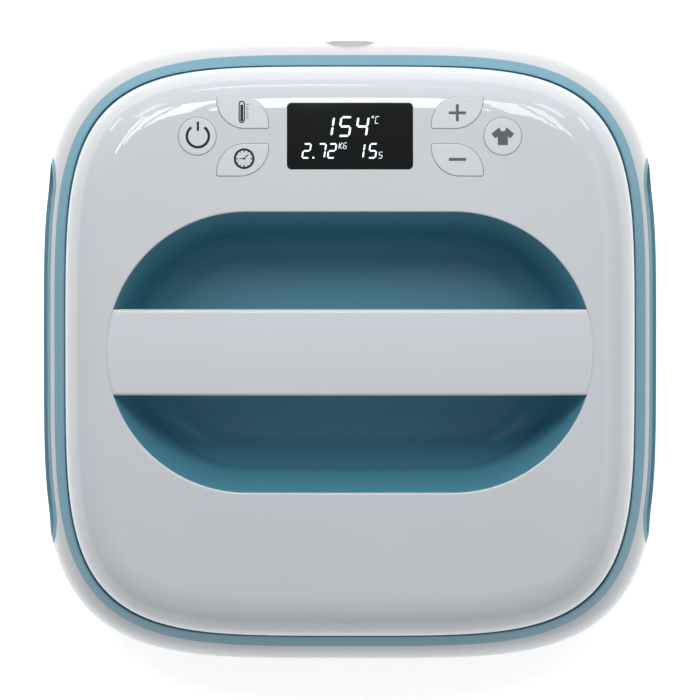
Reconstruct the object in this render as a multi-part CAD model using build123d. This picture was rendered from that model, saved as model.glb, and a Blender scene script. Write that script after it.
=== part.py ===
"""Handheld heat press: a rounded-square iron with a flush handle bar over a deep finger bowl.

Millimetres. +Z is up, +Y is the rear, where the control panel and the cord gland are, and +X is the
right-hand side. The origin is the middle of the heat plate's pressing face, so the press stands on z = 0.
"""

from build123d import *
from functools import lru_cache
from math import copysign, cos, hypot, pi, radians, sin, sqrt, tan
import os

# Outline of the body, seen from above
plate_half = 127.0        # half width of the heat plate, a ten inch square
body_overhang = 15.0      # how far the housing stands out past the plate at its widest level
belly_power = 4.12        # squareness of the housing's outline, where 2 would be a circle
cover_power = 4.36        # squareness of the top cover's outline
shoulder_run = 8.7        # how far the housing leans in between its widest level and the trim band
shoulder_turn = 62.0      # slope of the housing where it meets the trim band, degrees from upright
tuck_run = 3.0            # how far the housing leans in below its widest level
tuck_turn = 50.0          # slope of the housing at its lower edge, degrees from upright
band_run = 6.1            # width of the sloping trim band, seen from above
channel_width = 0.5       # shadow gap between the trim band and the top cover
band_crest = 0.4          # narrow flat along the top of the band
outline_stop = 25.5       # turn from the axis, in degrees, at which the outline's arcs are fitted to its curve

# Levels of the stack, from the pressing face up
plate_thick = 10.0
blanket_thick = 9.0
shield_thick = 1.2
cell_space = 8.0          # between the heat shield and the inner frame, where the load cells sit
frame_thick = 3.0
bowl_pad = 2.0            # height of the pads that carry the bowl on the frame
lip_level = 6.0           # underside of the lower housing
lip_thick = 3.0
belly_rise = 20.0         # from the housing's underside to its widest level
shoulder_rise = 30.0      # from the widest level to the trim band
band_rise = 5.9
channel_depth = 1.0
cover_rise = 37.1         # from the cover's foot to the top of its crown
crown_radius = 1200.0     # gentle dome of the cover's top
edge_radius = 20.0        # rounding between the cover's side and its top

# Walls and clearances
wall = 2.5
housing_wall = 3.0
bowl_wall = 2.4
part_gap = 0.3            # between fixed pieces that stand beside each other
key_gap = 0.35            # all round a key in its hole
key_travel = 0.8

# Recess and handle
recess_margin = 20.2      # from the cover's side to the end of the recess
panel_space = 33.2        # from the middle of the control panel to the recess
bowl_draft = 9.0          # lean of the bowl's wall, degrees
bowl_fillet = 16.0
bar_width = 37.8
bar_thick = 24.0
bar_rise = 2.0            # top of the bar above the top of the cover's crown
bar_end_drop = 0.6        # ends of the bar below the rim of the recess
bar_edge = 1.6
recess_edge = 0.8         # rounding of the recess's rim in the cover
grip_radius = 9.0         # rounding of the handle's lower edges
grip_height = 8.0         # lower half of the handle
tongue_reach = 11.5       # how far the lower half runs on beneath the cover
handle_wall = 3.2

# Control panel
panel_inset = 32.2        # middle of the panel from the cover's rear edge
lens_width = 55.0
lens_height = 29.2
lens_corner = 2.0
lens_thick = 1.6
lens_gap = 0.12
window_margin = 2.4       # ledge that carries the lens
round_key_x = 66.8
round_key_diameter = 16.7
leaf_x = 46.9
leaf_pitch = 20.8         # between the upper and lower leaf-shaped keys
leaf_width = 22.8
leaf_height = 14.3
leaf_bow = 12.6           # large rounding of two corners of a leaf-shaped key
leaf_tip = 0.9            # small rounding of the other two
key_proud = 0.3
key_skirt = 1.6           # thickness of the rim that keeps a key under the cover
key_rim = 1.1             # how far that rim reaches past the key's hole
stem_diameter = 5.0
plunger_diameter = 3.4
plunger_length = 3.0
switch_size = 6.4
switch_height = 3.5
switch_gap = 0.1          # round the plunger in its switch
board_thick = 1.6
board_drop = 16.0         # from the top of the crown to the control board
board_half_width = 81.0
board_depth = 40.0

# Side grips
grip_length = 176.0
grip_tall = 34.0
grip_level = 36.0         # middle of the side grip above the pressing face
grip_bezel = 5.0          # flush frame round the side pocket
grip_tab_y = 70.0         # tabs that screw the side grips down on the frame
pocket_depth = 12.5
pocket_wall = 2.2         # behind the pocket

# Cord gland
gland_level = 36.0
gland_recess_radius = 9.0
gland_recess_depth = 3.2
gland_collar_radius = 8.4
gland_neck_radius = 6.0
gland_bore_radius = 4.0
gland_flange = 2.2        # behind the housing, which keeps the gland in
gland_collar = 1.8
gland_wall = 3.0          # housing left behind the gland's recess

# Heater
element_radius = 3.25
groove_gap = 0.2
outer_loop_inset = 35.0   # outer heating loop, in from the plate's edge
inner_loop = 54.0
element_bend = 20.0
riser_bend = 10.0
riser_x = 14.0
riser_top = 34.0
riser_space = 4.7         # inner loop's terminals behind the bowl's recess
skirt_gap = 1.5           # air gap between the hot plate and the insulating skirt
skirt_wall = 2.1
skirt_drop = 3.0          # how far the skirt hangs below the housing
skirt_flange = 2.9
sensor_x = 26.0
sensor_lead_y = 84.0
shield_rim = 7.0

# Load cells
cell_inset = 47.0         # middle of each load cell, in from the plate's edge
cell_size = 34.0
cell_thick = 1.5
cell_tongue = 14.0
cell_slot = 2.0
button_radius = 5.0

# Fasteners, threads drawn as plain shanks
screw_radius = 1.6
screw_head_radius = 3.1
screw_head = 2.2
pillar_radius = 3.8
pillar_inset = 7.7        # cover pillars, from the cover's side
corner_pillar_inset = 7.1
mid_pillar_x = 50.0
screw_inset = 8.4         # housing screws, from the housing's widest outline
corner_screw_inset = 6.6
mid_screw_x = 40.0
hanger_inset = 19.0       # shoulder screws of the heat shield, from the plate's edge
hanger_x = 40.0

# Boards on the frame
power_board_width = 152.0
power_board_depth = 52.0
power_board_rise = 10.8   # above the frame
power_board_set = 8.5     # middle of the power board in front of the panel's middle
front_board_rise = 6.8
front_board_width = 72.0
front_board_depth = 40.0
clamp_inset = 19.5        # middle of the cord clamp from the housing's widest outline
clamp_depth = 9.0
lead_inset = 7.0          # leads of the load cells, in from a cell's edge

# Levels and sizes that follow from the ones above
belly_half = plate_half + body_overhang
seam_half = belly_half - shoulder_run
cover_half = seam_half - band_run - channel_width
belly_level = lip_level + belly_rise
seam_level = belly_level + shoulder_rise
foot_level = seam_level + band_rise - channel_depth
crown_level = foot_level + cover_rise
blanket_top = plate_thick + blanket_thick
shield_top = blanket_top + shield_thick
frame_level = shield_top + cell_space
frame_top = frame_level + frame_thick
floor_level = frame_top + bowl_pad + bowl_wall
lip_top = lip_level + lip_thick
bar_top = crown_level + bar_rise
bar_bottom = bar_top - bar_thick
grip_top = bar_bottom + grip_height
panel_y = cover_half - panel_inset
recess_half_length = cover_half - recess_margin
recess_radius = panel_y - panel_space
outer_loop = plate_half - outer_loop_inset
inner_riser_y = recess_radius + riser_space
cell_place = plate_half - cell_inset
corner_pillar = cover_half * 0.5 ** (1 / cover_power) - corner_pillar_inset
mid_pillar_y = cover_half - pillar_inset
corner_screw = belly_half * 0.5 ** (1 / belly_power) - corner_screw_inset
mid_screw_y = belly_half - screw_inset
board_top = crown_level - board_drop
bowl_mouth = crown_level + 5.0
mouth_run = (bowl_mouth - floor_level) * tan(radians(bowl_draft))
slack = 200.0             # tall or long enough for any cutter
skirt_outer = plate_half + skirt_gap + skirt_wall
lip_half = skirt_outer + 0.4
pocket_back = belly_half - pocket_depth - pocket_wall
gland_face = belly_half - gland_recess_depth
power_board_level = frame_top + power_board_rise
power_y = panel_y - power_board_set
front_y = -power_y
header_y = panel_y + 6.5  # sockets of the ribbon cable, one above the other
clamp_y = belly_half - clamp_inset
plunger_top = board_top + switch_height + 1.2
front_board_level = frame_top + front_board_rise


def body_half(level):
    """Half width of the lower housing at a level: an elliptical shoulder over an elliptical tuck."""
    if level >= belly_level:
        tall = shoulder_rise / sin(radians(shoulder_turn))
        deep = shoulder_run / (1 - cos(radians(shoulder_turn)))
    else:
        tall = belly_rise / sin(radians(tuck_turn))
        deep = tuck_run / (1 - cos(radians(tuck_turn)))
    return belly_half - deep * (1 - sqrt(max(0.0, 1 - ((level - belly_level) / tall) ** 2)))


def outline_point(half, power, turn):
    """Point on a superellipse at a turn from the x axis, and the direction along the curve there."""
    c, s = cos(turn), sin(turn)
    reach = half / (abs(c) ** power + abs(s) ** power) ** (1 / power)
    normal = Vector(copysign(abs(c) ** (power - 1), c), copysign(abs(s) ** (power - 1), s)).normalized()
    return Vector(reach * c, reach * s), Vector(-normal.Y, normal.X)


def middle_joint(p0, t0, p1, t1):
    """Where two arcs meet that lead smoothly from one point and direction to the next."""
    gap, both = p1 - p0, t0 + t1
    apart = 2 * (1 - t0.dot(t1))
    along = gap.dot(both)
    run = (sqrt(along ** 2 + apart * gap.dot(gap)) - along) / apart
    return (p0 + p1 + (t0 - t1) * run) / 2


def rounded_square(half, power, level, inset=0.0):
    """Face inside a superellipse drawn with smooth arcs, moved inwards along its normals by inset."""
    stops = [0, outline_stop, 45, 90 - outline_stop]
    turns = [radians(90 * quarter + stop) for quarter in range(4) for stop in stops]
    knots = [outline_point(half, power, turn) for turn in turns]
    ends = []
    for (p0, t0), (p1, t1) in zip(knots, knots[1:] + knots[:1]):
        joint = middle_joint(p0, t0, p1, t1)
        chord = (joint - p0).normalized()
        mirrored = chord * (2 * t0.dot(chord)) - t0
        ends += [(p0, t0), (joint, mirrored)]
    # The arcs on both sides of an axis or a diagonal are one, so the knots there drop out
    ends = [end for i, end in enumerate(ends) if i % 4 != 0]
    arcs = []
    for (p0, t0), (p1, t1) in zip(ends, ends[1:] + ends[:1]):
        start = p0 + Vector(-t0.Y, t0.X) * inset
        end = p1 + Vector(-t1.Y, t1.X) * inset
        arcs.append(TangentArc(start, end, tangent=t0))
    return Pos(0, 0, level) * Face(Wire(arcs))


def prism(face, height):
    return extrude(face, amount=height, dir=(0, 0, 1))


def slab(half, power, low, high, inset=0.0):
    return prism(rounded_square(half, power, low, inset), high - low)


def block(x0, x1, y0, y1, z0, z1):
    """Box between two corners."""
    centre = ((x0 + x1) / 2, (y0 + y1) / 2, (z0 + z1) / 2)
    return Pos(*centre) * Box(x1 - x0, y1 - y0, z1 - z0)


def rod(x, y, low, high, radius):
    """Upright cylinder."""
    return Pos(x, y, (low + high) / 2) * Cylinder(radius, high - low)


def four(x, y):
    """The same place in each quarter."""
    return [(sx * x, sy * y) for sx in (-1, 1) for sy in (-1, 1)]


def group(solids):
    return Compound(children=list(solids))


def screw(x, y, head_level, length, head_down=False):
    """Pan-head screw on an upright axis. head_level is the seat under its head."""
    way = -1 if head_down else 1
    seat, tip, crown = head_level, head_level - way * length, head_level + way * screw_head
    shank = rod(x, y, min(seat, tip), max(seat, tip), screw_radius)
    head = rod(x, y, min(seat, crown), max(seat, crown), screw_head_radius)
    rim = head.edges().sort_by(Axis.Z)[-1 if way > 0 else 0]
    head = fillet(rim, 0.8)
    socket = rod(x, y, min(crown, crown - way * 1.2), max(crown, crown - way * 1.2), 1.3)
    return head + shank - socket


def wire_tube(points, radii, radius):
    """Round tube along straight runs joined by arcs."""
    path = FilletPolyline(*points, radius=radii)
    start = Plane(origin=path @ 0, z_dir=path % 0)
    return sweep(start * Circle(radius), path=path)


@lru_cache
def dome(inset):
    """Everything under the top cover's outer surface, drawn inwards by inset."""
    body = slab(cover_half, cover_power, foot_level, crown_level + 10, inset)
    ball = Pos(0, 0, crown_level - crown_radius) * Rot(0, 90, 0) * Sphere(crown_radius - inset)
    body = body & ball
    high = [e for e in body.edges() if min((e @ 0).Z, (e @ 1).Z) > foot_level + cover_rise / 2]
    outline = [e for e in high if max(abs((e @ 0.5).X), abs((e @ 0.5).Y)) > 0.7 * cover_half]
    return fillet(outline, edge_radius - inset)


@lru_cache
def panel_layer(high, low):
    """Part of the crown round the control panel, between two depths under the cover's outer surface."""
    area = block(-board_half_width, board_half_width, 60, 120, board_top, slack)
    return (dome(high) & area) - (dome(low) & area)


def ball(inset):
    """Sphere of the crown alone, drawn inwards by inset, which holds within 108 mm of the middle."""
    return Pos(0, 0, crown_level - crown_radius) * Sphere(crown_radius - inset)


def crown_at(x, y):
    """Level of the crown's surface."""
    return crown_level - crown_radius + sqrt(crown_radius ** 2 - x ** 2 - y ** 2)


def stadium(grow, level):
    """Outline of the recess, with round ends, made larger all round by grow."""
    width = 2 * (recess_radius + grow)
    return Pos(0, 0, level) * SlotOverall(2 * (recess_half_length + grow), width)


def side_slot(grow, x0, x1):
    """Long round-ended prism along X, for the side grip on the right."""
    outline = SlotOverall(grip_length + 2 * grow, grip_tall + 2 * grow)
    face = Plane(origin=(x0, 0, grip_level), x_dir=(0, 1, 0), z_dir=(1, 0, 0)) * outline
    return extrude(face, amount=x1 - x0, dir=(1, 0, 0))


@lru_cache
def housing_form(inset, low, high):
    """Solid inside the lower housing's outer surface, drawn inwards by inset, between two levels."""
    steps = 7
    levels = [low + (high - low) * i / steps for i in range(steps + 1)]
    return loft([rounded_square(body_half(z), belly_power, z, inset) for z in levels])


def bar_profile(grow, low, high):
    """Cross-section of the handle, with rounded lower edges, run along X."""
    half = bar_width / 2 + grow
    face = Plane.YZ * Pos(0, (low + high) / 2) * Rectangle(2 * half, high - low)
    lower = face.vertices().sort_by(Axis.Z)[:2]
    face = fillet(lower, grip_radius + grow)
    return extrude(face, amount=slack, both=True)


def leaf(side, row, grow=0.0):
    """Outline of a leaf-shaped key. side is -1 left or 1 right, and row is 1 rear or -1 front."""
    outline = Rectangle(leaf_width + 2 * grow, leaf_height + 2 * grow)
    tips = [v for v in outline.vertices() if v.X * v.Y * side * row > 0]
    outline = fillet(tips, leaf_tip + grow)
    corners = sorted(outline.vertices(), key=lambda v: hypot(v.X, v.Y))
    outline = fillet(corners[-2:], leaf_bow + grow)
    return Pos(side * leaf_x, panel_y + row * leaf_pitch / 2) * outline


def round_key(side, grow=0.0):
    return Pos(side * round_key_x, panel_y) * Circle(round_key_diameter / 2 + grow)


# Each key: its outline, and the place of its stem and switch
keys = {
    "power": (lambda grow=0.0: round_key(-1, grow), (-round_key_x, panel_y)),
    "temperature": (lambda grow=0.0: leaf(-1, 1, grow), (-leaf_x, panel_y + leaf_pitch / 2)),
    "timer": (lambda grow=0.0: leaf(-1, -1, grow), (-leaf_x, panel_y - leaf_pitch / 2)),
    "plus": (lambda grow=0.0: leaf(1, 1, grow), (leaf_x, panel_y + leaf_pitch / 2)),
    "minus": (lambda grow=0.0: leaf(1, -1, grow), (leaf_x, panel_y - leaf_pitch / 2)),
    "preset": (lambda grow=0.0: round_key(1, grow), (round_key_x, panel_y)),
}

cover_pillars = four(corner_pillar, corner_pillar) + four(mid_pillar_x, mid_pillar_y)
housing_screws_at = four(corner_screw, corner_screw) + four(mid_screw_x, mid_screw_y)
board_bosses = [(sx * (board_half_width - 5), panel_y + sy * (board_depth / 2 - 4)) for sx in (-1, 1) for sy in (-1, 1)]
cells_at = four(cell_place, cell_place)
studs_at = four(72.0, 30.0)
hangers_at = four(hanger_x, plate_half - hanger_inset)
risers_at = [(sx * riser_x, y) for y in (outer_loop, inner_riser_y) for sx in (-1, 1)]
post_x = recess_half_length + 1.5
post_width = tongue_reach - 1.5


def lens_outline(shrink, level):
    outline = RectangleRounded(lens_width - 2 * shrink, lens_height - 2 * shrink, lens_corner)
    return Pos(0, panel_y, level) * outline


def top_cover():
    """Glossy upper shell with the recess, the display window, the key holes and its pillars."""
    shell = dome(0) - dome(wall) - prism(stadium(0, floor_level), slack)
    rim = [e for e in shell.edges() if hypot(*tuple(e @ 0.5)[:2]) < recess_half_length + 1]
    rim = [e for e in rim if (e @ 0.5).Z > crown_at((e @ 0.5).X, (e @ 0.5).Y) - wall / 2]
    shell = fillet(rim, recess_edge)
    posts = [rod(x, y, foot_level, crown_level, pillar_radius) for x, y in cover_pillars]
    posts += [rod(x, y, board_top, crown_level, 3.0) for x, y in board_bosses]
    low_posts = [rod(x, y, frame_top, foot_level, pillar_radius) for x, y in cover_pillars]
    shell = shell + [group(posts) & dome(wall / 2)] + low_posts
    cuts = [prism(outline(key_gap), slack) for outline, _ in keys.values()]
    cuts.append(prism(lens_outline(window_margin, board_top), slack))
    cuts.append(prism(lens_outline(-lens_gap, board_top), slack) - ball(lens_thick + 0.05))
    cuts += [rod(x, y, frame_top - 1, frame_top + 14, screw_radius) for x, y in cover_pillars]
    cuts += [rod(x, y, board_top - 1, board_top + 6, screw_radius) for x, y in board_bosses]
    return shell - cuts


def trim_band():
    """Sloping coloured band between the cover and the housing, with a tongue down inside the housing."""
    outer = loft([
        rounded_square(seam_half, belly_power, seam_level),
        rounded_square(cover_half, cover_power, seam_level + band_rise, -channel_width - band_crest),
    ])
    ledge = slab(cover_half, cover_power, foot_level, foot_level + 5, -channel_width)
    bore = slab(cover_half, cover_power, seam_level - 10, foot_level + 10, 3.0)
    tongue_low, tongue_in = seam_level - 3.0, housing_wall + part_gap
    tongue = slab(seam_half, belly_power, tongue_low, seam_level, tongue_in)
    tongue = tongue - slab(seam_half, belly_power, tongue_low - 1, seam_level, tongue_in + 2)
    return outer - ledge - bore + tongue


def lower_housing():
    """Outer shell below the band, open at the bottom, with screw pillars and holes for the side grips."""
    outer = housing_form(0, lip_level, seam_level)
    bottom = outer.edges().filter_by(lambda e: abs((e @ 0).Z - lip_level) + abs((e @ 1).Z - lip_level) < 0.01)
    outer = fillet(bottom, 1.5)
    mouth = slab(lip_half, belly_power, lip_level - 1, lip_top + 1)
    shell = outer - housing_form(housing_wall, lip_top, seam_level) - mouth
    turn = Rot(90, 0, 0)
    boss_y = gland_face - gland_wall / 2 + 1
    boss = Pos(0, boss_y, gland_level) * turn * Cylinder(gland_recess_radius + 3, gland_wall + 2)
    pillars = [rod(x, y, lip_level + 0.5, frame_level, pillar_radius) for x, y in housing_screws_at]
    shell = shell + pillars + [boss]
    right_hole = side_slot(part_gap, pocket_back, slack)
    cuts = [right_hole, mirror(right_hole, Plane.YZ)]
    cuts += [rod(x, y, lip_level - 1, frame_level + 1, screw_radius + 0.2) for x, y in housing_screws_at]
    cuts += [rod(x, y, lip_level - 1, lip_level + 4.0, screw_head_radius + 0.4) for x, y in housing_screws_at]
    cuts.append(Pos(0, gland_face + 10, gland_level) * turn * Cylinder(gland_recess_radius, 20))
    cuts.append(Pos(0, gland_face, gland_level) * turn * Cylinder(gland_neck_radius + 0.1, 40))
    return shell - cuts


def side_grip_right():
    """Soft insert: a bezel flush with the housing round a finger pocket, with two tabs on the frame."""
    plug = side_slot(0, pocket_back, slack) & housing_form(0, lip_level, seam_level)
    pocket = side_slot(-grip_bezel, pocket_back + pocket_wall, slack)
    floor_rim = pocket.edges().filter_by(lambda e: abs(e.center().X - pocket_back - pocket_wall) < 0.01)
    pocket = fillet(floor_rim, 3.0)
    tabs = []
    for y in (-grip_tab_y, grip_tab_y):
        tab = block(pocket_back - 11, pocket_back + 0.5, y - 6, y + 6, frame_top, frame_top + 2.5)
        tabs.append(tab - rod(pocket_back - 6, y, 0, slack, screw_radius + 0.2))
    return plug - pocket + tabs


def handle_bowl():
    """Deep finger bowl under the recess, with a flange against the underside of the cover."""
    floor_inset = mouth_run
    inner = loft([stadium(part_gap - floor_inset, floor_level), stadium(part_gap, bowl_mouth)], ruled=True)
    inner_rim = inner.edges().filter_by(lambda e: abs(e.center().Z - floor_level) < 0.01)
    inner = fillet(inner_rim, bowl_fillet)
    low = floor_level - bowl_wall
    grow = part_gap + bowl_wall
    outer = loft([stadium(grow - floor_inset, low), stadium(grow, bowl_mouth)], ruled=True)
    outer_rim = outer.edges().filter_by(lambda e: abs(e.center().Z - low) < 0.01)
    outer = fillet(outer_rim, bowl_fillet + bowl_wall)
    flange = prism(stadium(6.5, foot_level + 12), slack) & (ball(wall + 0.1) - ball(wall + 2.3))
    body = (outer & ball(wall + 0.1)) + flange - inner
    notch = bar_profile(part_gap, bar_bottom - part_gap, bar_top + 20)
    ends = block(-slack, slack, -bar_width, bar_width, bar_bottom - 5, bar_top + 30)
    return body - (notch & ends)


def arch(drop):
    """Everything under the bar's arched top, lowered by drop."""
    rim_level = crown_level - recess_half_length ** 2 / (2 * crown_radius)
    sag = bar_top - rim_level + bar_end_drop
    radius = (recess_half_length ** 2 + sag ** 2) / (2 * sag)
    return Pos(0, 0, bar_top - radius) * Rot(90, 0, 0) * Cylinder(radius - drop, slack)


def handle_bar():
    """Upper half of the handle, arched along its length, inside the recess rim."""
    blank = block(-slack, slack, -bar_width / 2, bar_width / 2, grip_top, bar_top + 10)
    blank = blank & prism(stadium(-part_gap, grip_top - 1), slack) & arch(0)
    top_edges = [e for e in blank.edges() if e.center().Z > bar_top - 9.5 and e.bounding_box().size.Z < 10]
    body = fillet(top_edges, bar_edge)
    inside = prism(stadium(-part_gap - handle_wall, grip_top - 1), slack) & arch(handle_wall)
    half = bar_width / 2 - handle_wall
    inside = inside & block(-slack, slack, -half, half, grip_top - 1, slack)
    posts = [rod(x, 0, grip_top, bar_top - 1, 3.5) & arch(handle_wall / 2) for x in (-60, 60)]
    body = body - inside + posts
    return body - [rod(x, 0, grip_top - 1, grip_top + 9, screw_radius) for x in (-60, 60)]


def handle_grip():
    """Lower half of the handle: the carrying beam, whose ends run on beneath the cover to the posts."""
    beam = bar_profile(0, bar_bottom, grip_top + 30)
    reach = recess_half_length + tongue_reach
    beam = beam & block(-reach, reach, -bar_width, bar_width, bar_bottom - 1, grip_top)
    half = bar_width / 2 - handle_wall
    trough = block(-recess_half_length + 10, recess_half_length - 10, -half, half, bar_bottom + handle_wall + 2, slack)
    beam = beam - trough
    posts = [rod(x, 0, bar_bottom + 1, grip_top, 5.5) for x in (-60, 60)]
    beam = beam + posts
    holes = [rod(x, 0, bar_bottom - 1, grip_top + 1, screw_radius + 0.2) for x in (-60, 60)]
    holes += [rod(x, 0, bar_bottom - 1, bar_bottom + 4, screw_head_radius + 0.4) for x in (-60, 60)]
    holes += [rod(x, y, bar_bottom - 1, grip_top + 1, screw_radius + 0.2) for x, y in four(post_x + post_width / 2, 9)]
    return beam - holes


def handle_post(side):
    """Hollow post that carries one end of the handle on the inner frame."""
    x0, x1 = post_x, post_x + post_width
    body = block(x0, x1, -15, 15, frame_top, bar_bottom)
    foot = block(x0 - 3, x1 + 3, -21, 21, frame_top, frame_top + 4)
    hollow = block(x0 + 2.4, x1 - 2.4, -12.6, 12.6, frame_top - 1, bar_bottom - 14)
    body = body + foot - hollow
    middle = (x0 + x1) / 2
    body = body - [rod(middle, y, bar_bottom - 12, bar_bottom + 1, screw_radius) for y in (-9, 9)]
    body = body - [rod(middle, y, frame_top - 1, frame_top + 5, screw_radius) for y in (-18, 18)]
    return body if side > 0 else mirror(body, Plane.YZ)


def handle_screws():
    """Four screws down into the posts, and two up into the handle's upper half."""
    down = [screw(x, y, grip_top, 16) for x, y in four(post_x + post_width / 2, 9)]
    up = [screw(x, 0, bar_bottom + 4, 10, head_down=True) for x in (-60, 60)]
    return group(down + up)


def base_skirt():
    """Insulating ring round the hot plate, resting on the housing's lip."""
    low = lip_level - skirt_drop
    ring = slab(plate_half, belly_power, low, lip_top + 2.5, -skirt_gap - skirt_wall)
    ring = ring + slab(plate_half, belly_power, lip_top, lip_top + 2, -skirt_gap - skirt_wall - skirt_flange)
    ring = ring - slab(plate_half, belly_power, low - 1, lip_top + 5, -skirt_gap)
    return ring - [rod(x, y, low, lip_top + 5, pillar_radius + 0.4) for x, y in housing_screws_at]


def cord_gland():
    """Round bush in the rear wall that the cord would pass through."""
    turn = Rot(90, 0, 0)
    inner_face = gland_face - gland_wall - 0.1
    collar = Pos(0, gland_face + gland_collar / 2, gland_level) * turn * Cylinder(gland_collar_radius, gland_collar)
    outer_rim = collar.edges().filter_by(lambda e: e.center().Y > gland_face + gland_collar - 0.1)
    collar = fillet(outer_rim, 0.9)
    low = inner_face - gland_flange
    neck = Pos(0, (gland_face + low) / 2, gland_level) * turn * Cylinder(gland_neck_radius, gland_face - low)
    back = Pos(0, low + gland_flange / 2, gland_level) * turn * Cylinder(gland_collar_radius, gland_flange)
    bore = Pos(0, gland_face, gland_level) * turn * Cylinder(gland_bore_radius, 40)
    return collar + neck + back - bore


def cord_clamp():
    """Saddle and bar, screwed to the frame, that would hold the cord inside the housing."""
    y0, y1 = clamp_y - clamp_depth / 2, clamp_y + clamp_depth / 2
    groove = Pos(0, clamp_y, gland_level) * Rot(90, 0, 0) * Cylinder(gland_bore_radius, 20)
    saddle = block(-15, 15, y0, y1, frame_top, gland_level - 0.4) - groove
    bar = block(-15, 15, y0, y1, gland_level + 0.4, gland_level + 6.5) - groove
    holes = [rod(x, clamp_y, frame_top - 1, gland_level + 10, screw_radius + 0.1) for x in (-10, 10)]
    return group([saddle - holes, bar - holes])


def display_lens():
    """Black window, flush with the cover."""
    return (prism(lens_outline(0, board_top), slack) & ball(0)) - ball(lens_thick)


def display_module():
    """Liquid crystal cell on its backlight, standing on the control board."""
    top = crown_level - panel_y ** 2 / (2 * crown_radius) - wall - 2.8
    glass = block(-25.5, 25.5, panel_y - 13, panel_y + 11.5, top - 2.2, top)
    light = block(-28, 28, panel_y - 15, panel_y + 14, board_top, top - 2.2)
    return glass + light


def key_cap(name):
    """Key with a rim that keeps it under the cover, and a stem down to its switch."""
    outline, (x, y) = keys[name]
    rim_top = wall + 0.2
    low = rim_top + key_skirt
    cap = Pos(0, 0, board_top) * prism(outline(0.0), 30) & panel_layer(-key_proud, low)
    rim = Pos(0, 0, board_top) * prism(outline(key_gap + key_rim), 30) & panel_layer(rim_top, low)
    stem = rod(x, y, plunger_top, board_top + 10, stem_diameter / 2) & ball(rim_top)
    return cap + rim + stem


def key_plunger(name):
    """Moving button of a key's switch, which lifts the key again."""
    _, (x, y) = keys[name]
    return rod(x, y, plunger_top - plunger_length, plunger_top, plunger_diameter / 2)


def key_switches():
    """Bodies of the six switches on the control board."""
    solids = []
    for _, (x, y) in keys.values():
        half = switch_size / 2
        body = block(x - half, x + half, y - half, y + half, board_top, board_top + switch_height)
        bore_low = plunger_top - plunger_length - key_travel - 0.2
        solids.append(body - rod(x, y, bore_low, slack, plunger_diameter / 2 + switch_gap))
    return group(solids)


def control_board():
    """Board behind the panel, hung under the cover on four bosses, with its chips and headers."""
    low = board_top - board_thick
    rear, front = panel_y + board_depth / 2, panel_y - board_depth / 2
    board = block(-board_half_width, board_half_width, front, rear, low, board_top)
    chip = block(16, 28, panel_y - 6, panel_y + 6, low - 1.6, low)
    small = [block(x, x + 6, panel_y + 6, panel_y + 10, low - 1.4, low) for x in (-32, -22, 40, 52)]
    header = block(-12, 12, header_y - 3, header_y + 3, low - 4, low)
    board = board + [chip, header] + small
    return board - [rod(x, y, low - 1, board_top + 1, screw_radius) for x, y in board_bosses]


def board_screws():
    """Small screws of the three boards, the cord clamp and the side grips."""
    solids = [screw(x, y, board_top - board_thick, 6, head_down=True) for x, y in board_bosses]
    solids += [screw(x, y, power_board_level + board_thick, 9) for x, y in power_standoffs]
    solids += [screw(x, y, front_board_level + board_thick, 6) for x, y in front_standoffs]
    solids += [screw(x, clamp_y, gland_level + 6.5, 12) for x in (-10, 10)]
    solids += [screw(x, y, frame_top + 2.5, 5) for x, y in four(pocket_back - 6, grip_tab_y)]
    return group(solids)


power_standoffs = [
    (sx * (power_board_width / 2 - 5), power_y + sy * (power_board_depth / 2 - 5)) for sx in (-1, 1) for sy in (-1, 1)
]
front_standoffs = [
    (sx * (front_board_width / 2 - 5), front_y + sy * (front_board_depth / 2 - 5)) for sx in (-1, 1) for sy in (-1, 1)
]


def power_board():
    """Mains board on the frame behind the bowl."""
    half, deep = power_board_width / 2, power_board_depth / 2
    board = block(-half, half, power_y - deep, power_y + deep, power_board_level, power_board_level + board_thick)
    low = power_board_level + board_thick
    header = block(-12, 12, header_y - 3, header_y + 3, low, low + 5)
    fuse_holder = block(-34, -22, power_y - 20, power_y - 8, low, low + 9)
    parts = [header, fuse_holder]
    return board + parts - [rod(x, y, 0, slack, screw_radius + 0.1) for x, y in power_standoffs]


def sensor_board():
    """Small board in front of the bowl that reads the load cells."""
    half, deep = front_board_width / 2, front_board_depth / 2
    board = block(-half, half, front_y - deep, front_y + deep, front_board_level, front_board_level + board_thick)
    top = front_board_level + board_thick
    chip = block(-8, 4, front_y - 6, front_y + 4, top, top + 1.6)
    socket = block(10, 24, front_y - 12, front_y - 6, top, top + 4)
    parts = [chip, socket]
    return board + parts - [rod(x, y, 0, slack, screw_radius + 0.1) for x, y in front_standoffs]


def relays():
    low = power_board_level + board_thick
    solids = [block(x, x + 19, power_y - 2, power_y + 13.5, low, low + 15.8) for x in (-50, 18)]
    return group([fillet(s.edges().filter_by(Axis.Z), 0.8) for s in solids])


def transformer():
    """Small mains transformer: bobbin through a laminated core."""
    low = power_board_level + board_thick
    core = block(-4, 22, power_y - 23, power_y - 5, low + 4, low + 22)
    bobbin = block(-6, 24, power_y - 20, power_y - 8, low, low + 26)
    return core + bobbin


def mains_capacitor():
    low = power_board_level + board_thick
    return fillet(block(30, 48, power_y - 20, power_y - 11, low, low + 15).edges().filter_by(Axis.Z), 1.0)


def triac_heatsink():
    """Finned heat sink with the switching device clipped to its side."""
    low = power_board_level + board_thick
    base = block(-18, 12, power_y, power_y + 3, low, low + 24)
    fins = [block(x, x + 1.4, power_y + 3, power_y + 10.5, low, low + 24) for x in (-18, -11.1, -4.2, 2.7, 10.6)]
    device = block(-8, 2, power_y - 4.4, power_y, low + 3, low + 18)
    return base + fins + device


terminals = (-4.0, 10.0)  # places of the heater leads' screws, from the middle of the power board


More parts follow.
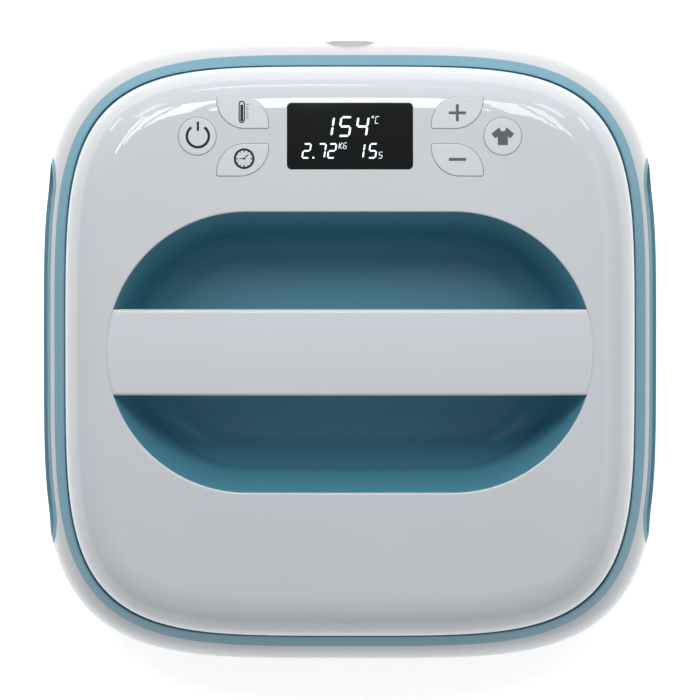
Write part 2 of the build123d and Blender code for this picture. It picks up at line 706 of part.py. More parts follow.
def terminal_blocks():
    """One block at each end of the power board for the heater leads."""
    low = power_board_level + board_thick
    solids = []
    for side in (-1, 1):
        x0, x1 = sorted((side * 54, side * 66))
        body = block(x0, x1, power_y - 10, power_y + 16, low, low + 11)
        notches = [rod((x0 + x1) / 2, power_y + y, low + 6, low + 12, 2.4) for y in terminals]
        solids.append(body - notches)
    return group(solids)


def buzzer():
    low = board_top - board_thick
    return rod(-44, panel_y + 2, low - 7.5, low, 6.0) - rod(-44, panel_y + 2, low - 8, low - 6, 1.2)


def ribbon_cable():
    """Flat cable with a socket at each end, from the power board up to the control board."""
    low = power_board_level + board_thick + 5
    high = board_top - board_thick - 4
    y, z0, z1 = header_y, low + 5, high - 5
    bow = 5.0
    points = [(0, y, z0), (0, y, z0 + 5), (0, y + bow, (z0 + z1) / 2), (0, y, z1 - 5), (0, y, z1)]
    path = FilletPolyline(*points, radius=2.5)
    ribbon = sweep(Plane(origin=path @ 0, z_dir=path % 0, x_dir=(1, 0, 0)) * Rectangle(20, 1.0), path=path)
    sockets = [block(-12, 12, y - 3, y + 3, low, z0), block(-12, 12, y - 3, y + 3, z1, high)]
    return ribbon + sockets


def inner_frame():
    """Moulded frame inside the housing that everything is screwed to."""
    half = body_half(frame_level) - housing_wall - 0.5
    plate = slab(half, belly_power, frame_level, frame_top)
    rib = slab(half, belly_power, frame_top, frame_top + 2.5, 4.0) - slab(half, belly_power, frame_top, slack, 6.0)
    solids = [rod(x, y, frame_top, frame_top + 5, 3.0) for x, y in housing_screws_at]
    solids += [rod(x, y, frame_top, frame_top + bowl_pad, 6.0) for x, y in four(60, 24)]
    solids += [rod(x, y, frame_top, power_board_level, 3.2) for x, y in power_standoffs]
    solids += [rod(x, y, frame_top, front_board_level, 3.2) for x, y in front_standoffs]
    plate = plate + [rib] + solids
    notch_half = grip_length / 2 + 3
    notch = block(pocket_back - 1.5, slack, -notch_half, notch_half, 0, frame_top + 10)
    cuts = [notch, mirror(notch, Plane.YZ)]
    cuts.append(block(-34, 34, inner_riser_y - 6, outer_loop + 8, 0, frame_top + 1))
    cuts.append(block(-26, 26, front_y - 10, front_y + 10, 0, frame_top + 1))
    cuts.append(block(-11, 11, gland_face - 7.8, slack, 0, frame_top + 10))
    cuts += [rod(x, y, 0, slack, screw_radius) for x, y in four(pocket_back - 6, grip_tab_y)]
    cuts += [rod(x, y, 0, frame_top + 4, screw_radius) for x, y in housing_screws_at]
    cuts += [rod(x, y, 0, frame_top + 1, screw_radius + 0.2) for x, y in cover_pillars]
    cuts += [rod(x, y, 0, frame_top + 1, screw_radius + 0.6) for x, y in hangers_at]
    cuts += [rod(x, y, power_board_level - 8, slack, screw_radius) for x, y in power_standoffs]
    cuts += [rod(x, y, front_board_level - 5, slack, screw_radius) for x, y in front_standoffs]
    cuts += [rod(x, y, 0, slack, screw_radius + 0.2) for x, y in four(post_x + post_width / 2, 18)]
    cuts += [rod(x, clamp_y, frame_level - 1, frame_top + 1, screw_radius) for x in (-10, 10)]
    return plate - cuts


def frame_screws():
    """Screws up through the frame into the cover's pillars and the handle posts."""
    solids = [screw(x, y, frame_level, 14, head_down=True) for x, y in cover_pillars]
    solids += [screw(x, y, frame_level, 6.5, head_down=True) for x, y in four(post_x + post_width / 2, 18)]
    return group(solids)


def housing_screws():
    """Screws up through the lip and the housing's pillars into the frame."""
    return group([screw(x, y, lip_level + 4.0, frame_top - lip_level - 1, head_down=True) for x, y in housing_screws_at])


def hanger_screws():
    """Shoulder screws that hang the heat shield under the frame and let it press up on the load cells."""
    return group([screw(x, y, frame_top, frame_top - blanket_top + 2, head_down=False) for x, y in hangers_at])


def cell_shape(x, y, sx, sy):
    """Square load cell: an outer frame with a tongue inside a three-sided slot."""
    half, low = cell_size / 2, shield_top + 2.5
    body = block(x - half, x + half, y - half, y + half, low, low + cell_thick)
    body = fillet(body.edges().filter_by(Axis.Z), 3.0)
    t = cell_tongue / 2
    slot = block(x - t - cell_slot, x + t + cell_slot, y - 10, y + 10, 0, slack)
    tongue = block(x - t, x + t, y - 11, y + 10 - cell_slot, 0, slack)
    return body - (slot - tongue)


def load_cells():
    return group([cell_shape(x, y, x, y) for x, y in cells_at])


def cell_holders():
    """Carriers that hold each cell's outer frame under the inner frame and leave its tongue free."""
    solids = []
    for x, y in cells_at:
        half, low = cell_size / 2, shield_top + 2.5 + cell_thick
        body = block(x - half, x + half, y - half, y + half, low, frame_level)
        body = fillet(body.edges().filter_by(Axis.Z), 3.0)
        solids.append(body - block(x - 12.5, x + 12.5, y - 12.5, y + 12.5, low - 1, frame_level - 1.2))
    return group(solids)


def cell_buttons():
    """Steel buttons on the heat shield that push each cell's tongue."""
    return group([rod(x, y, shield_top, shield_top + 2.5, button_radius) for x, y in cells_at])


def heat_shield():
    """Folded sheet over the insulation, with a rim that turns down round it."""
    plate = slab(plate_half, belly_power, blanket_top, shield_top, 1.0)
    rim = slab(plate_half, belly_power, shield_top - shield_rim, shield_top, 1.0)
    rim = rim - slab(plate_half, belly_power, 0, blanket_top, 1.0 + shield_thick)
    holes = [rod(x, y, 0, slack, element_radius + 1.5) for x, y in risers_at]
    holes += [rod(x, y, 0, slack, 2.6) for x, y in studs_at]
    holes += [rod(x, y, 0, slack, screw_radius) for x, y in hangers_at]
    holes.append(rod(sensor_x, sensor_lead_y, 0, slack, 4.0))
    return plate + rim - holes


def insulation_blanket():
    """Fibre blanket over the plate, with room for what stands on the plate."""
    pad = slab(plate_half, belly_power, plate_thick, blanket_top, 4.0)
    holes = [rod(x, y, 0, slack, element_radius + 1.0) for x, y in risers_at]
    holes += [block(sx * riser_x - 11, sx * riser_x + 11, y - 5, y + 5, 0, slack)
              for sx, y in [(-1, outer_loop), (1, outer_loop), (-1, inner_riser_y), (1, inner_riser_y)]]
    holes += [rod(x, y, 0, slack, 2.8) for x, y in studs_at]
    holes += [rod(x, y, 0, slack, screw_radius + 0.4) for x, y in hangers_at]
    holes += [rod(0, 20, 0, slack, 10.5), block(-10, 10, -27, -13, 0, slack)]
    holes.append(block(sensor_x - 10, sensor_x + 8, -5, 6, 0, slack))
    holes += [block(sensor_x - 3, sensor_x + 3, 0, sensor_lead_y + 4, 0, slack)]
    return pad - holes


def loop_points(half, top, level):
    """Corners of a heating loop, from one riser round to the other."""
    return [
        (-riser_x, top, riser_top),
        (-riser_x, top, level),
        (-half, top, level),
        (-half, -half, level),
        (half, -half, level),
        (half, top, level),
        (riser_x, top, level),
        (riser_x, top, riser_top),
    ]


element_level = plate_thick - element_radius - 0.4


def heating_element(half, top):
    """Tubular element lying in the plate's groove, with an upright terminal at each end."""
    points = loop_points(half, top, element_level)
    radii = [riser_bend] + [element_bend] * 4 + [riser_bend]
    return wire_tube(points, radii, element_radius)


def groove(half, top):
    """Cutter for the groove that a heating element lies in."""
    end = riser_x - 5
    points = [(-end, top), (-half, top), (-half, -half), (half, -half), (half, top), (end, top)]
    path = FilletPolyline(*[(x, y, element_level) for x, y in points], radius=element_bend)
    radius = element_radius + groove_gap
    start = Plane(origin=path @ 0, x_dir=(0, -1, 0), z_dir=(-1, 0, 0))
    round_part = sweep(start * Circle(radius), path=path)
    rise = plate_thick - element_level + 1
    square_part = sweep(start * Pos(0, rise / 2) * Rectangle(2 * radius, rise), path=path)
    return round_part + square_part


def heat_plate():
    """Cast plate with two grooves for the heating elements, and holes for studs and sensors."""
    plate = slab(plate_half, belly_power, 0, plate_thick)
    plate = fillet(plate.edges().filter_by(lambda e: abs(e.center().Z) < 0.01), 1.5)
    cuts = [groove(outer_loop, outer_loop), groove(inner_loop, inner_riser_y)]
    cuts += [rod(x, y, 3.0, plate_thick + 1, 2.5) for x, y in studs_at]
    return plate - cuts


def plate_studs():
    """Studs from the plate up through the heat shield, each with its nut."""
    solids = []
    for x, y in studs_at:
        stud = rod(x, y, 3.2, shield_top + 6.0, 2.4)
        nut = prism(Pos(x, y, shield_top) * RegularPolygon(4.4, 6), 3.6)
        solids.append(stud + nut)
    return group(solids)


def thermostat():
    """Disc thermostat that cuts the heater if the plate runs away."""
    can = rod(0, 20, plate_thick, plate_thick + 3.4, 8.0)
    body = rod(0, 20, plate_thick + 3.4, plate_thick + 7.4, 6.6)
    tabs = [block(x - 0.4, x + 0.4, 17, 23, plate_thick + 7.4, plate_thick + 8.6) for x in (-4, 4)]
    return can + body + tabs


def thermal_fuse():
    """One-shot fuse held to the plate under a bent clip."""
    level = plate_thick + 3.0
    fuse = Pos(0, -20, level) * Rot(0, 90, 0) * Cylinder(2.0, 12)
    clip = block(-4, 4, -26, -14, plate_thick, plate_thick + 0.8)
    hoop = Pos(0, -20, level) * Rot(0, 90, 0) * Cylinder(2.8, 5)
    return fuse + clip + hoop


def temperature_sensor():
    """Bead sensor in a lug that lies on the plate."""
    x0, x1 = sensor_x - 8, sensor_x + 4
    lug = fillet(block(x0, x1, -3, 3, plate_thick, plate_thick + 1.0).edges().filter_by(Axis.Z), 2.0)
    barrel = Pos(sensor_x, 0, plate_thick + 2.8) * Rot(90, 0, 0) * Cylinder(2.0, 7)
    return lug + barrel


def signal_leads():
    """Lead of the temperature sensor, and the lead under the frame between the front and rear boards."""
    level = plate_thick + 2.8
    x, y = sensor_x, sensor_lead_y
    sensor = [(x, 3.5, level), (x, y, level), (x, y, power_board_level)]
    under, rear = frame_level - 1.6, power_y - 8
    link = [(0, front_y, front_board_level), (0, front_y, under), (0, rear, under), (0, rear, power_board_level)]
    return group([wire_tube(sensor, [8.0], 1.4), wire_tube(link, [5.0, 5.0], 1.4)])


def heater_leads():
    """Four leads from the risers to the terminal blocks."""
    block_level = power_board_level + board_thick + 4.5
    run_level = riser_top + 4.4
    solids = []
    for side in (-1, 1):
        for start_y, end_y in ((outer_loop, power_y + terminals[1]), (inner_riser_y, power_y + terminals[0])):
            x = side * riser_x
            far = side * 84.0
            points = [
                (x, start_y, riser_top),
                (x, start_y, run_level),
                (side * 40.0, start_y, run_level),
                (far, end_y, run_level),
                (far, end_y, block_level),
                (side * 66.0, end_y, block_level),
            ]
            solids.append(wire_tube(points, [4.0, 12.0, 5.0, 5.0], 1.5))
    return group(solids)


def cell_leads():
    """Leads of the load cells, under the frame to the sensor board in front."""
    level = frame_level - 1.3
    edge = cell_place - cell_size / 2
    solids = []
    for side in (-1, 1):
        y, cross = -cell_place, lead_inset - edge
        front = [(side * edge, y, level), (side * 10, y, level), (side * 10, y, front_board_level)]
        solids.append(wire_tube(front, [5.0], 1.2))
        rear = [
            (side * cell_place, edge, level),
            (side * cell_place, cross, level),
            (side * 20, cross, level),
            (side * 20, y, level),
            (side * 20, y, front_board_level),
        ]
        solids.append(wire_tube(rear, [10.0, 8.0, 5.0], 1.2))
    return group(solids)


right_grip = side_grip_right()
nodes = {
    "top_cover": top_cover,
    "trim_band": trim_band,
    "lower_housing": lower_housing,
    "side_grip_right": lambda: right_grip,
    "side_grip_left": lambda: mirror(right_grip, Plane.YZ),
    "handle_bowl": handle_bowl,
    "handle_bar": handle_bar,
    "handle_grip": handle_grip,
    "handle_post_left": lambda: handle_post(-1),
    "handle_post_right": lambda: handle_post(1),
    "handle_screws": handle_screws,
    "base_skirt": base_skirt,
    "cord_gland": cord_gland,
    "cord_clamp": cord_clamp,
    "display_lens": display_lens,
    "display_module": display_module,
    "key_switches": key_switches,
    "control_board": control_board,
    "board_screws": board_screws,
    "power_board": power_board,
    "sensor_board": sensor_board,
    "relays": relays,
    "transformer": transformer,
    "mains_capacitor": mains_capacitor,
    "triac_heatsink": triac_heatsink,
    "terminal_blocks": terminal_blocks,
    "buzzer": buzzer,
    "ribbon_cable": ribbon_cable,
    "inner_frame": inner_frame,
    "frame_screws": frame_screws,
    "housing_screws": housing_screws,
    "hanger_screws": hanger_screws,
    "load_cells": load_cells,
    "cell_holders": cell_holders,
    "cell_buttons": cell_buttons,
    "heat_shield": heat_shield,
    "insulation_blanket": insulation_blanket,
    "outer_element": lambda: heating_element(outer_loop, outer_loop),
    "inner_element": lambda: heating_element(inner_loop, inner_riser_y),
    "heat_plate": heat_plate,
    "plate_studs": plate_studs,
    "thermostat": thermostat,
    "thermal_fuse": thermal_fuse,
    "temperature_sensor": temperature_sensor,
    "signal_leads": signal_leads,
    "heater_leads": heater_leads,
    "cell_leads": cell_leads,
}
for key in keys:
    nodes[f"{key}_key"] = lambda key=key: key_cap(key)
    nodes[f"{key}_plunger"] = lambda key=key: key_plunger(key)

os.makedirs("parts", exist_ok=True)
for name, make in nodes.items():
    export_step(make(), f"parts/{name}.step")
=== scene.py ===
import bmesh
import bpy
from math import atan2, cos, hypot, pi, radians, sin, sqrt, tan
from mathutils import Matrix, Vector


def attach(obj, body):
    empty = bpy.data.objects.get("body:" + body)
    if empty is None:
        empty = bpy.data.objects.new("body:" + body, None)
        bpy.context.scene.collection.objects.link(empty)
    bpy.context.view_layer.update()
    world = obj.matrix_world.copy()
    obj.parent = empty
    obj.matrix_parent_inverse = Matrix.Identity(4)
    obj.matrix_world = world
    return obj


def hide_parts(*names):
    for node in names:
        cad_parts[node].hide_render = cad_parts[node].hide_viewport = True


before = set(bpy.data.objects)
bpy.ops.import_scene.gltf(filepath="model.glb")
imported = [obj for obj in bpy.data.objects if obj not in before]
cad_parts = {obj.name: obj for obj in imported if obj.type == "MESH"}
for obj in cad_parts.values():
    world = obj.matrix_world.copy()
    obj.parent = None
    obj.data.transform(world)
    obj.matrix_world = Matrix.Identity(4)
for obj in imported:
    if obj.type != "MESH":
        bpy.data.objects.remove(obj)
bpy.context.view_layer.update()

mm = 0.001

# Sizes of the press in metres, the frame's own, except that belly_half stays a little inside it
belly_half = 141.97 * mm
belly_power = 4.12
cover_half = 126.7 * mm
cover_power = 4.36
seam_half = 133.3 * mm
lip_level = 6 * mm
belly_level = 26 * mm
seam_level = 56 * mm
band_top = 61.9 * mm
foot_level = 60.9 * mm
crown_level = 98 * mm
crown_radius = 1200 * mm
edge_radius = 20 * mm
cover_wall = 2.5 * mm
housing_wall = 3 * mm
recess_half_length = 106.5 * mm
recess_radius = 61.3 * mm
bowl_floor = 35.6 * mm
bar_half_width = 18.9 * mm
bar_top = 100 * mm
grip_top = 84 * mm
part_gap = 0.3 * mm

# Sizes of the panel
panel_y = 94.5 * mm
key_proud = 0.3 * mm
key_thick = 4.5 * mm
key_edge = 0.5 * mm
key_gap = 0.12 * mm
leaf_x = 46.9 * mm
leaf_row = 10.4 * mm
leaf_half_length = 11.4 * mm
leaf_half_width = 7.15 * mm
leaf_tip = 0.9 * mm
leaf_bow = 12.6 * mm
round_x = 66.8 * mm
round_radius = 8.35 * mm
window_half_length = 27.5 * mm
window_half_width = 14.6 * mm
window_corner = 2 * mm
window_gap = 0.06 * mm
window_thick = 1.6 * mm
window_edge = 0.3 * mm
print_thick = 0.04 * mm

# Sizes of the side grips and the gland
slot_half_length = 88 * mm
slot_half_height = 17 * mm
grip_level = 36 * mm
tab_level = 31.2 * mm
gland_level = 36 * mm

# Fineness of the meshes: points nearer than merge_reach are joined, levels within a hair are the same,
# and edges that turn by more than sharp_turn stay sharp
corner_steps = 64
merge_reach = 1e-5
hair = 1e-6
sharp_turn = radians(35)


# Hand tools

def only(piece):
    """Selects this piece alone and makes it the active one."""
    if bpy.context.object and bpy.context.object.mode != "OBJECT":
        bpy.ops.object.mode_set(mode="OBJECT")
    bpy.ops.object.select_all(action="DESELECT")
    piece.select_set(True)
    bpy.context.view_layer.objects.active = piece
    return piece


def edit(piece):
    """Opens the piece's mesh for editing."""
    only(piece)
    bpy.ops.object.mode_set(mode="EDIT")
    bpy.ops.mesh.select_mode(type="EDGE")


def edit_whole(piece):
    """Opens the piece's mesh for editing with all of it selected."""
    edit(piece)
    bpy.ops.mesh.select_all(action="SELECT")


def done():
    """Ends the editing and gives the piece back."""
    bpy.ops.object.mode_set(mode="OBJECT")
    return bpy.context.object


def pick(test, kind="edges"):
    """In edit mode, selects only the edges, faces or verts that pass the test."""
    bpy.ops.mesh.select_mode(type={"edges": "EDGE", "faces": "FACE", "verts": "VERT"}[kind])
    mesh = bmesh.from_edit_mesh(bpy.context.object.data)
    for group in (mesh.faces, mesh.edges, mesh.verts):
        for item in group:
            item.select_set(False)
    for item in [item for item in getattr(mesh, kind) if test(item)]:
        item.select_set(True)
    mesh.select_flush_mode()
    bmesh.update_edit_mesh(bpy.context.object.data)


def pick_from(level):
    """In edit mode, selects the edges at this level or above it."""
    pick(lambda e: min(v.co.z for v in e.verts) > level - hair)


def round_edges(width, steps):
    """In edit mode, rounds the selected edges."""
    bpy.ops.mesh.bevel(offset=width, segments=steps, profile=0.5, affect="EDGES", clamp_overlap=False)


def settle(piece):
    """Moves the piece's place, turn and scale into its mesh."""
    only(piece)
    bpy.ops.object.transform_apply(location=True, rotation=True, scale=True)
    return piece


def joined(pieces):
    """Joins the pieces into the first of them."""
    only(pieces[0])
    for piece in pieces[1:]:
        piece.select_set(True)
    if len(pieces) > 1:
        bpy.ops.object.join()
    return bpy.context.object


def weld(piece):
    """Merges doubles and turns the faces outwards."""
    edit_whole(piece)
    bpy.ops.mesh.remove_doubles(threshold=merge_reach)
    bpy.ops.mesh.normals_make_consistent(inside=False)
    return done()


def apply(piece, kind, **settings):
    """Adds a modifier with these settings and applies it."""
    only(piece)
    modifier = piece.modifiers.new(kind.lower(), kind)
    for name, value in settings.items():
        setattr(modifier, name, value)
    bpy.ops.object.modifier_apply(modifier=modifier.name)
    return piece


def cut(piece, *cutters, way="DIFFERENCE"):
    """Cuts the piece with each cutter, or unites or intersects them, and throws the cutter away."""
    for cutter in cutters:
        apply(piece, "BOOLEAN", object=cutter, operation=way, solver="EXACT")
        bpy.data.objects.remove(cutter)
    return piece


def plane(half_x, half_y, place=(0, 0, 0)):
    """Flat rectangle round a place."""
    bpy.ops.object.select_all(action="DESELECT")
    bpy.ops.mesh.primitive_plane_add(size=2, location=place)
    sheet = bpy.context.object
    sheet.scale = (half_x, half_y, 1)
    return settle(sheet)


def cylinder(radius, depth, place, turn=(0, 0, 0), sides=64):
    """Cylinder round a place, upright unless it is turned."""
    bpy.ops.object.select_all(action="DESELECT")
    bpy.ops.mesh.primitive_cylinder_add(vertices=sides, radius=radius, depth=depth, location=place,
                                        rotation=turn)
    return settle(bpy.context.object)


def brick(low, high):
    """Box between two corners."""
    bpy.ops.object.select_all(action="DESELECT")
    middle = [(a + b) / 2 for a, b in zip(low, high)]
    bpy.ops.mesh.primitive_cube_add(size=1, location=middle)
    piece = bpy.context.object
    piece.scale = [b - a for a, b in zip(low, high)]
    return settle(piece)


def rounded_outline(half_x, half_y, corner, power, level, steps):
    """Flat face: a rectangle with all its corners rounded to a superellipse quarter of that power."""
    sheet = plane(half_x, half_y, (0, 0, level))
    just_short = 0.99999
    edit_whole(sheet)
    bpy.ops.mesh.bevel(offset=corner * just_short, segments=steps, profile=2 ** (-2 / power),
                       affect="VERTICES", clamp_overlap=False)
    bpy.ops.mesh.select_all(action="SELECT")
    bpy.ops.mesh.remove_doubles(threshold=merge_reach)
    return done()


def square_outline(half, power, level):
    """Flat face: a superellipse as long as it is wide."""
    return rounded_outline(half, half, half, power, level, corner_steps)


def only_rim(outline):
    """Keeps an outline's border and drops its face."""
    edit_whole(outline)
    bpy.ops.mesh.delete(type="ONLY_FACE")
    return done()


def stadium_outline(grow, level):
    """Border of the round-ended recess, wider all round by grow, its straight sides in short edges."""
    end_steps, side_cuts, longest_curved_edge = 48, 31, 50 * mm
    radius = recess_radius + grow
    outline = only_rim(rounded_outline(recess_half_length + grow, radius, radius, 2, level, end_steps))
    edit(outline)
    pick(lambda e: e.calc_length() > longest_curved_edge)
    bpy.ops.mesh.subdivide(number_cuts=side_cuts)
    return done()


def skin(outlines, closed=False):
    """Shell through a row of outlines, each bridged to the next."""
    rings = [only_rim(o) for o in outlines]
    pairs = list(zip(rings, rings[1:])) + ([(rings[-1], rings[0])] if closed else [])
    bands = []
    for pair in pairs:
        copies = []
        for ring in pair:
            only(ring)
            bpy.ops.object.duplicate()
            copies.append(bpy.context.object)
        edit_whole(joined(copies))
        bpy.ops.mesh.bridge_edge_loops()
        bands.append(done())
    for ring in rings:
        bpy.data.objects.remove(ring)
    return weld(joined(bands))


def closed_rims(piece):
    """Closes each open rim with a face."""
    edit(piece)
    pick(lambda e: e.is_boundary)
    bpy.ops.mesh.fill_holes(sides=0)
    bpy.ops.mesh.select_all(action="SELECT")
    bpy.ops.mesh.normals_make_consistent(inside=False)
    return done()


def raise_face(sheet, height):
    """Thickens a flat face into a prism."""
    edit_whole(sheet)
    bpy.ops.mesh.extrude_region_move(TRANSFORM_OT_translate={"value": (0, 0, height)})
    bpy.ops.mesh.select_all(action="SELECT")
    bpy.ops.mesh.normals_make_consistent(inside=False)
    return done()


def sliced(piece, step=4 * mm):
    """Cuts lines across the piece both ways, so that its flats can follow the crown."""
    for axis in (0, 1):
        low = min(v.co[axis] for v in piece.data.vertices)
        high = max(v.co[axis] for v in piece.data.vertices)
        count = int((high - low) / step)
        for i in range(1, count + 1):
            place = [0, 0, 0]
            place[axis] = low + (high - low) * i / (count + 1)
            edit_whole(piece)
            bpy.ops.mesh.bisect(plane_co=place, plane_no=(1 - axis, axis, 0))
            done()
    return piece


def sag(x, y):
    """How far the crown lies below its top."""
    return crown_radius - sqrt(crown_radius ** 2 - x ** 2 - y ** 2)


def crown(piece, low=None, high=None):
    """Lets the piece follow the cover's crown, fully above high and not at all below low."""
    for vertex in piece.data.vertices:
        x, y, z = vertex.co
        share = 1.0 if low is None else min(1.0, max(0.0, (z - low) / (high - low)))
        vertex.co.z = z - sag(x, y) * share
    return piece


# Materials

def nodes_of(name):
    """New material with its node tree and its shader."""
    finish = bpy.data.materials.new(name)
    finish.use_nodes = True
    tree = finish.node_tree
    return finish, tree, tree.nodes["Principled BSDF"]


def wire(tree, source, target):
    """Joins one node's socket to another's."""
    tree.links.new(source, target)


def own_place(tree):
    """The object's own coordinates, for a texture to follow."""
    return tree.nodes.new("ShaderNodeTexCoord").outputs["Object"]


def noise(tree, place, scale, detail=4.0):
    """Cloudy texture."""
    texture = tree.nodes.new("ShaderNodeTexNoise")
    texture.inputs["Scale"].default_value = scale
    texture.inputs["Detail"].default_value = detail
    texture.inputs["Roughness"].default_value = 0.55
    wire(tree, place, texture.inputs["Vector"])
    return texture.outputs["Fac"]


def span(tree, value, low, high, start=0.3, stop=0.7):
    """Maps a texture's value between two numbers."""
    node = tree.nodes.new("ShaderNodeMapRange")
    node.inputs["From Min"].default_value = start
    node.inputs["From Max"].default_value = stop
    node.inputs["To Min"].default_value = low
    node.inputs["To Max"].default_value = high
    wire(tree, value, node.inputs["Value"])
    return node.outputs["Result"]


def tint(tree, factor, first, second):
    """Blends from the first colour to the second."""
    node = tree.nodes.new("ShaderNodeMix")
    node.data_type = "RGBA"
    node.inputs["A"].default_value = (*first, 1)
    node.inputs["B"].default_value = (*second, 1)
    wire(tree, factor, node.inputs["Factor"])
    return node.outputs["Result"]


def relief(tree, shader, height, strength):
    """Fine bump in the surface."""
    bump = tree.nodes.new("ShaderNodeBump")
    bump.inputs["Strength"].default_value = strength
    bump.inputs["Distance"].default_value = 0.2 * mm
    wire(tree, height, bump.inputs["Height"])
    wire(tree, bump.outputs["Normal"], shader.inputs["Normal"])


def moulded(name, colour, rough, grain=900.0, depth=0.05, shade=0.96, metal=0.0, coat=0.0, mottle=9.0,
            sweep=0.06, specular=0.5):
    """Plastic, rubber or metal with a fine moulded grain, faint clouding and uneven gloss."""
    finish, tree, shader = nodes_of(name)
    place = own_place(tree)
    dark = tuple(c * shade for c in colour)
    cloud = span(tree, noise(tree, place, mottle, 5.0), 0, 1)
    wire(tree, tint(tree, cloud, dark, colour), shader.inputs["Base Color"])
    finer_mottle = mottle * 3.7
    gloss = span(tree, noise(tree, place, finer_mottle, 6.0), rough - sweep, rough + sweep)
    wire(tree, gloss, shader.inputs["Roughness"])
    relief(tree, shader, noise(tree, place, grain, 3.0), depth)
    shader.inputs["Metallic"].default_value = metal
    shader.inputs["Specular IOR Level"].default_value = specular
    shader.inputs["Coat Weight"].default_value = coat
    shader.inputs["Coat Roughness"].default_value = 0.03
    return finish


def lit_segment(name, strength):
    """White-blue light of the display's characters."""
    finish, tree, shader = nodes_of(name)
    unevenness = span(tree, noise(tree, own_place(tree), 900, 2.0), 0, 1)
    glow = tint(tree, unevenness, (0.62, 0.80, 0.86), (0.86, 0.96, 1.0))
    wire(tree, glow, shader.inputs["Emission Color"])
    wire(tree, glow, shader.inputs["Base Color"])
    shader.inputs["Emission Strength"].default_value = strength
    shader.inputs["Roughness"].default_value = 0.4
    return finish


def plate_coating():
    """Dark non-stick coating with fine light flecks and faint rub marks."""
    finish, tree, shader = nodes_of("plate_coating")
    place = own_place(tree)
    flecks = tree.nodes.new("ShaderNodeTexVoronoi")
    flecks.inputs["Scale"].default_value = 650
    wire(tree, place, flecks.inputs["Vector"])
    spot = span(tree, flecks.outputs["Distance"], 1, 0, 0.10, 0.20)
    cloud = span(tree, noise(tree, place, 14, 6.0), 0, 1)
    base = tint(tree, cloud, (0.026, 0.026, 0.028), (0.045, 0.045, 0.048))
    mix = tree.nodes.new("ShaderNodeMix")
    mix.data_type = "RGBA"
    mix.inputs["B"].default_value = (0.16, 0.16, 0.165, 1)
    wire(tree, spot, mix.inputs["Factor"])
    wire(tree, base, mix.inputs["A"])
    wire(tree, mix.outputs["Result"], shader.inputs["Base Color"])
    wire(tree, span(tree, noise(tree, place, 40, 6.0), 0.34, 0.52), shader.inputs["Roughness"])
    relief(tree, shader, noise(tree, place, 1500, 3.0), 0.15)
    return finish


def ribbon_wires():
    """Grey flat cable with a line for each wire."""
    finish, tree, shader = nodes_of("ribbon_wires")
    place = own_place(tree)
    waves = tree.nodes.new("ShaderNodeTexWave")
    waves.bands_direction = "X"
    waves.inputs["Scale"].default_value = 125
    wire(tree, place, waves.inputs["Vector"])
    grey = tint(tree, waves.outputs["Fac"], (0.22, 0.22, 0.23), (0.42, 0.42, 0.44))
    wire(tree, grey, shader.inputs["Base Color"])
    wire(tree, span(tree, noise(tree, place, 200), 0.4, 0.6), shader.inputs["Roughness"])
    relief(tree, shader, waves.outputs["Fac"], 0.5)
    return finish


white_cover = moulded("white_cover", (0.567, 0.587, 0.602), 0.04, grain=700, depth=0.002, coat=0.1,
                      sweep=0.008)
white_housing = moulded("white_housing", (0.50, 0.517, 0.528), 0.2, grain=700, depth=0.005, coat=0.2,
                        sweep=0.02)
white_handle = moulded("white_handle", (0.59, 0.612, 0.627), 0.14, grain=1200, depth=0.004, coat=0.15,
                       sweep=0.02)
white_key = moulded("white_key", (0.555, 0.575, 0.587), 0.3, grain=1500, depth=0.02, sweep=0.03)
teal_band = moulded("teal_band", (0.105, 0.275, 0.36), 0.3, grain=1100, depth=0.03, coat=0.15, sweep=0.03,
                    specular=0.38)
teal_bowl = moulded("teal_bowl", (0.09, 0.295, 0.39), 0.36, grain=1100, depth=0.04, sweep=0.04)
teal_grip = moulded("teal_grip", (0.11, 0.27, 0.35), 0.5, grain=1800, depth=0.14)
black_window = moulded("black_window", (0.004, 0.0046, 0.0045), 0.08, grain=500, depth=0.002, sweep=0.02,
                       specular=0.3)
pale_gland = moulded("pale_gland", (0.64, 0.66, 0.67), 0.45, grain=1500, depth=0.08)
black_skirt = moulded("black_skirt", (0.022, 0.022, 0.024), 0.55, grain=1400, depth=0.12, shade=0.8)
frame_grey = moulded("frame_grey", (0.15, 0.16, 0.17), 0.55, grain=1300, depth=0.1)
zinc = moulded("zinc", (0.58, 0.58, 0.57), 0.34, grain=2600, depth=0.08, metal=1.0, shade=0.85, mottle=240)
tube_steel = moulded("tube_steel", (0.34, 0.30, 0.26), 0.38, grain=2200, depth=0.1, metal=1.0, shade=0.75,
                     mottle=60)
sheet_steel = moulded("sheet_steel", (0.55, 0.56, 0.57), 0.36, grain=1800, depth=0.06, metal=1.0, shade=0.8,
                      mottle=90)
solder_green = moulded("solder_green", (0.018, 0.14, 0.06), 0.35, grain=1600, depth=0.08, shade=0.7,
                       mottle=120)
case_black = moulded("case_black", (0.018, 0.018, 0.02), 0.5, grain=1500, depth=0.1, shade=0.8)
case_blue = moulded("case_blue", (0.03, 0.10, 0.33), 0.42, grain=1500, depth=0.08)
film_yellow = moulded("film_yellow", (0.66, 0.44, 0.05), 0.4, grain=1300, depth=0.06)
disc_brass = moulded("disc_brass", (0.60, 0.46, 0.20), 0.3, grain=2400, depth=0.06, metal=1.0, shade=0.8,
                     mottle=200)
lead_red = moulded("lead_red", (0.36, 0.025, 0.025), 0.5, grain=2200, depth=0.08)
lead_white = moulded("lead_white", (0.66, 0.66, 0.63), 0.5, grain=2200, depth=0.08)
fibre = moulded("fibre", (0.72, 0.69, 0.60), 0.95, grain=420, depth=0.9, shade=0.8, mottle=60)
print_dark = moulded("print_dark", (0.006, 0.008, 0.010), 0.8, grain=2600, depth=0.03)
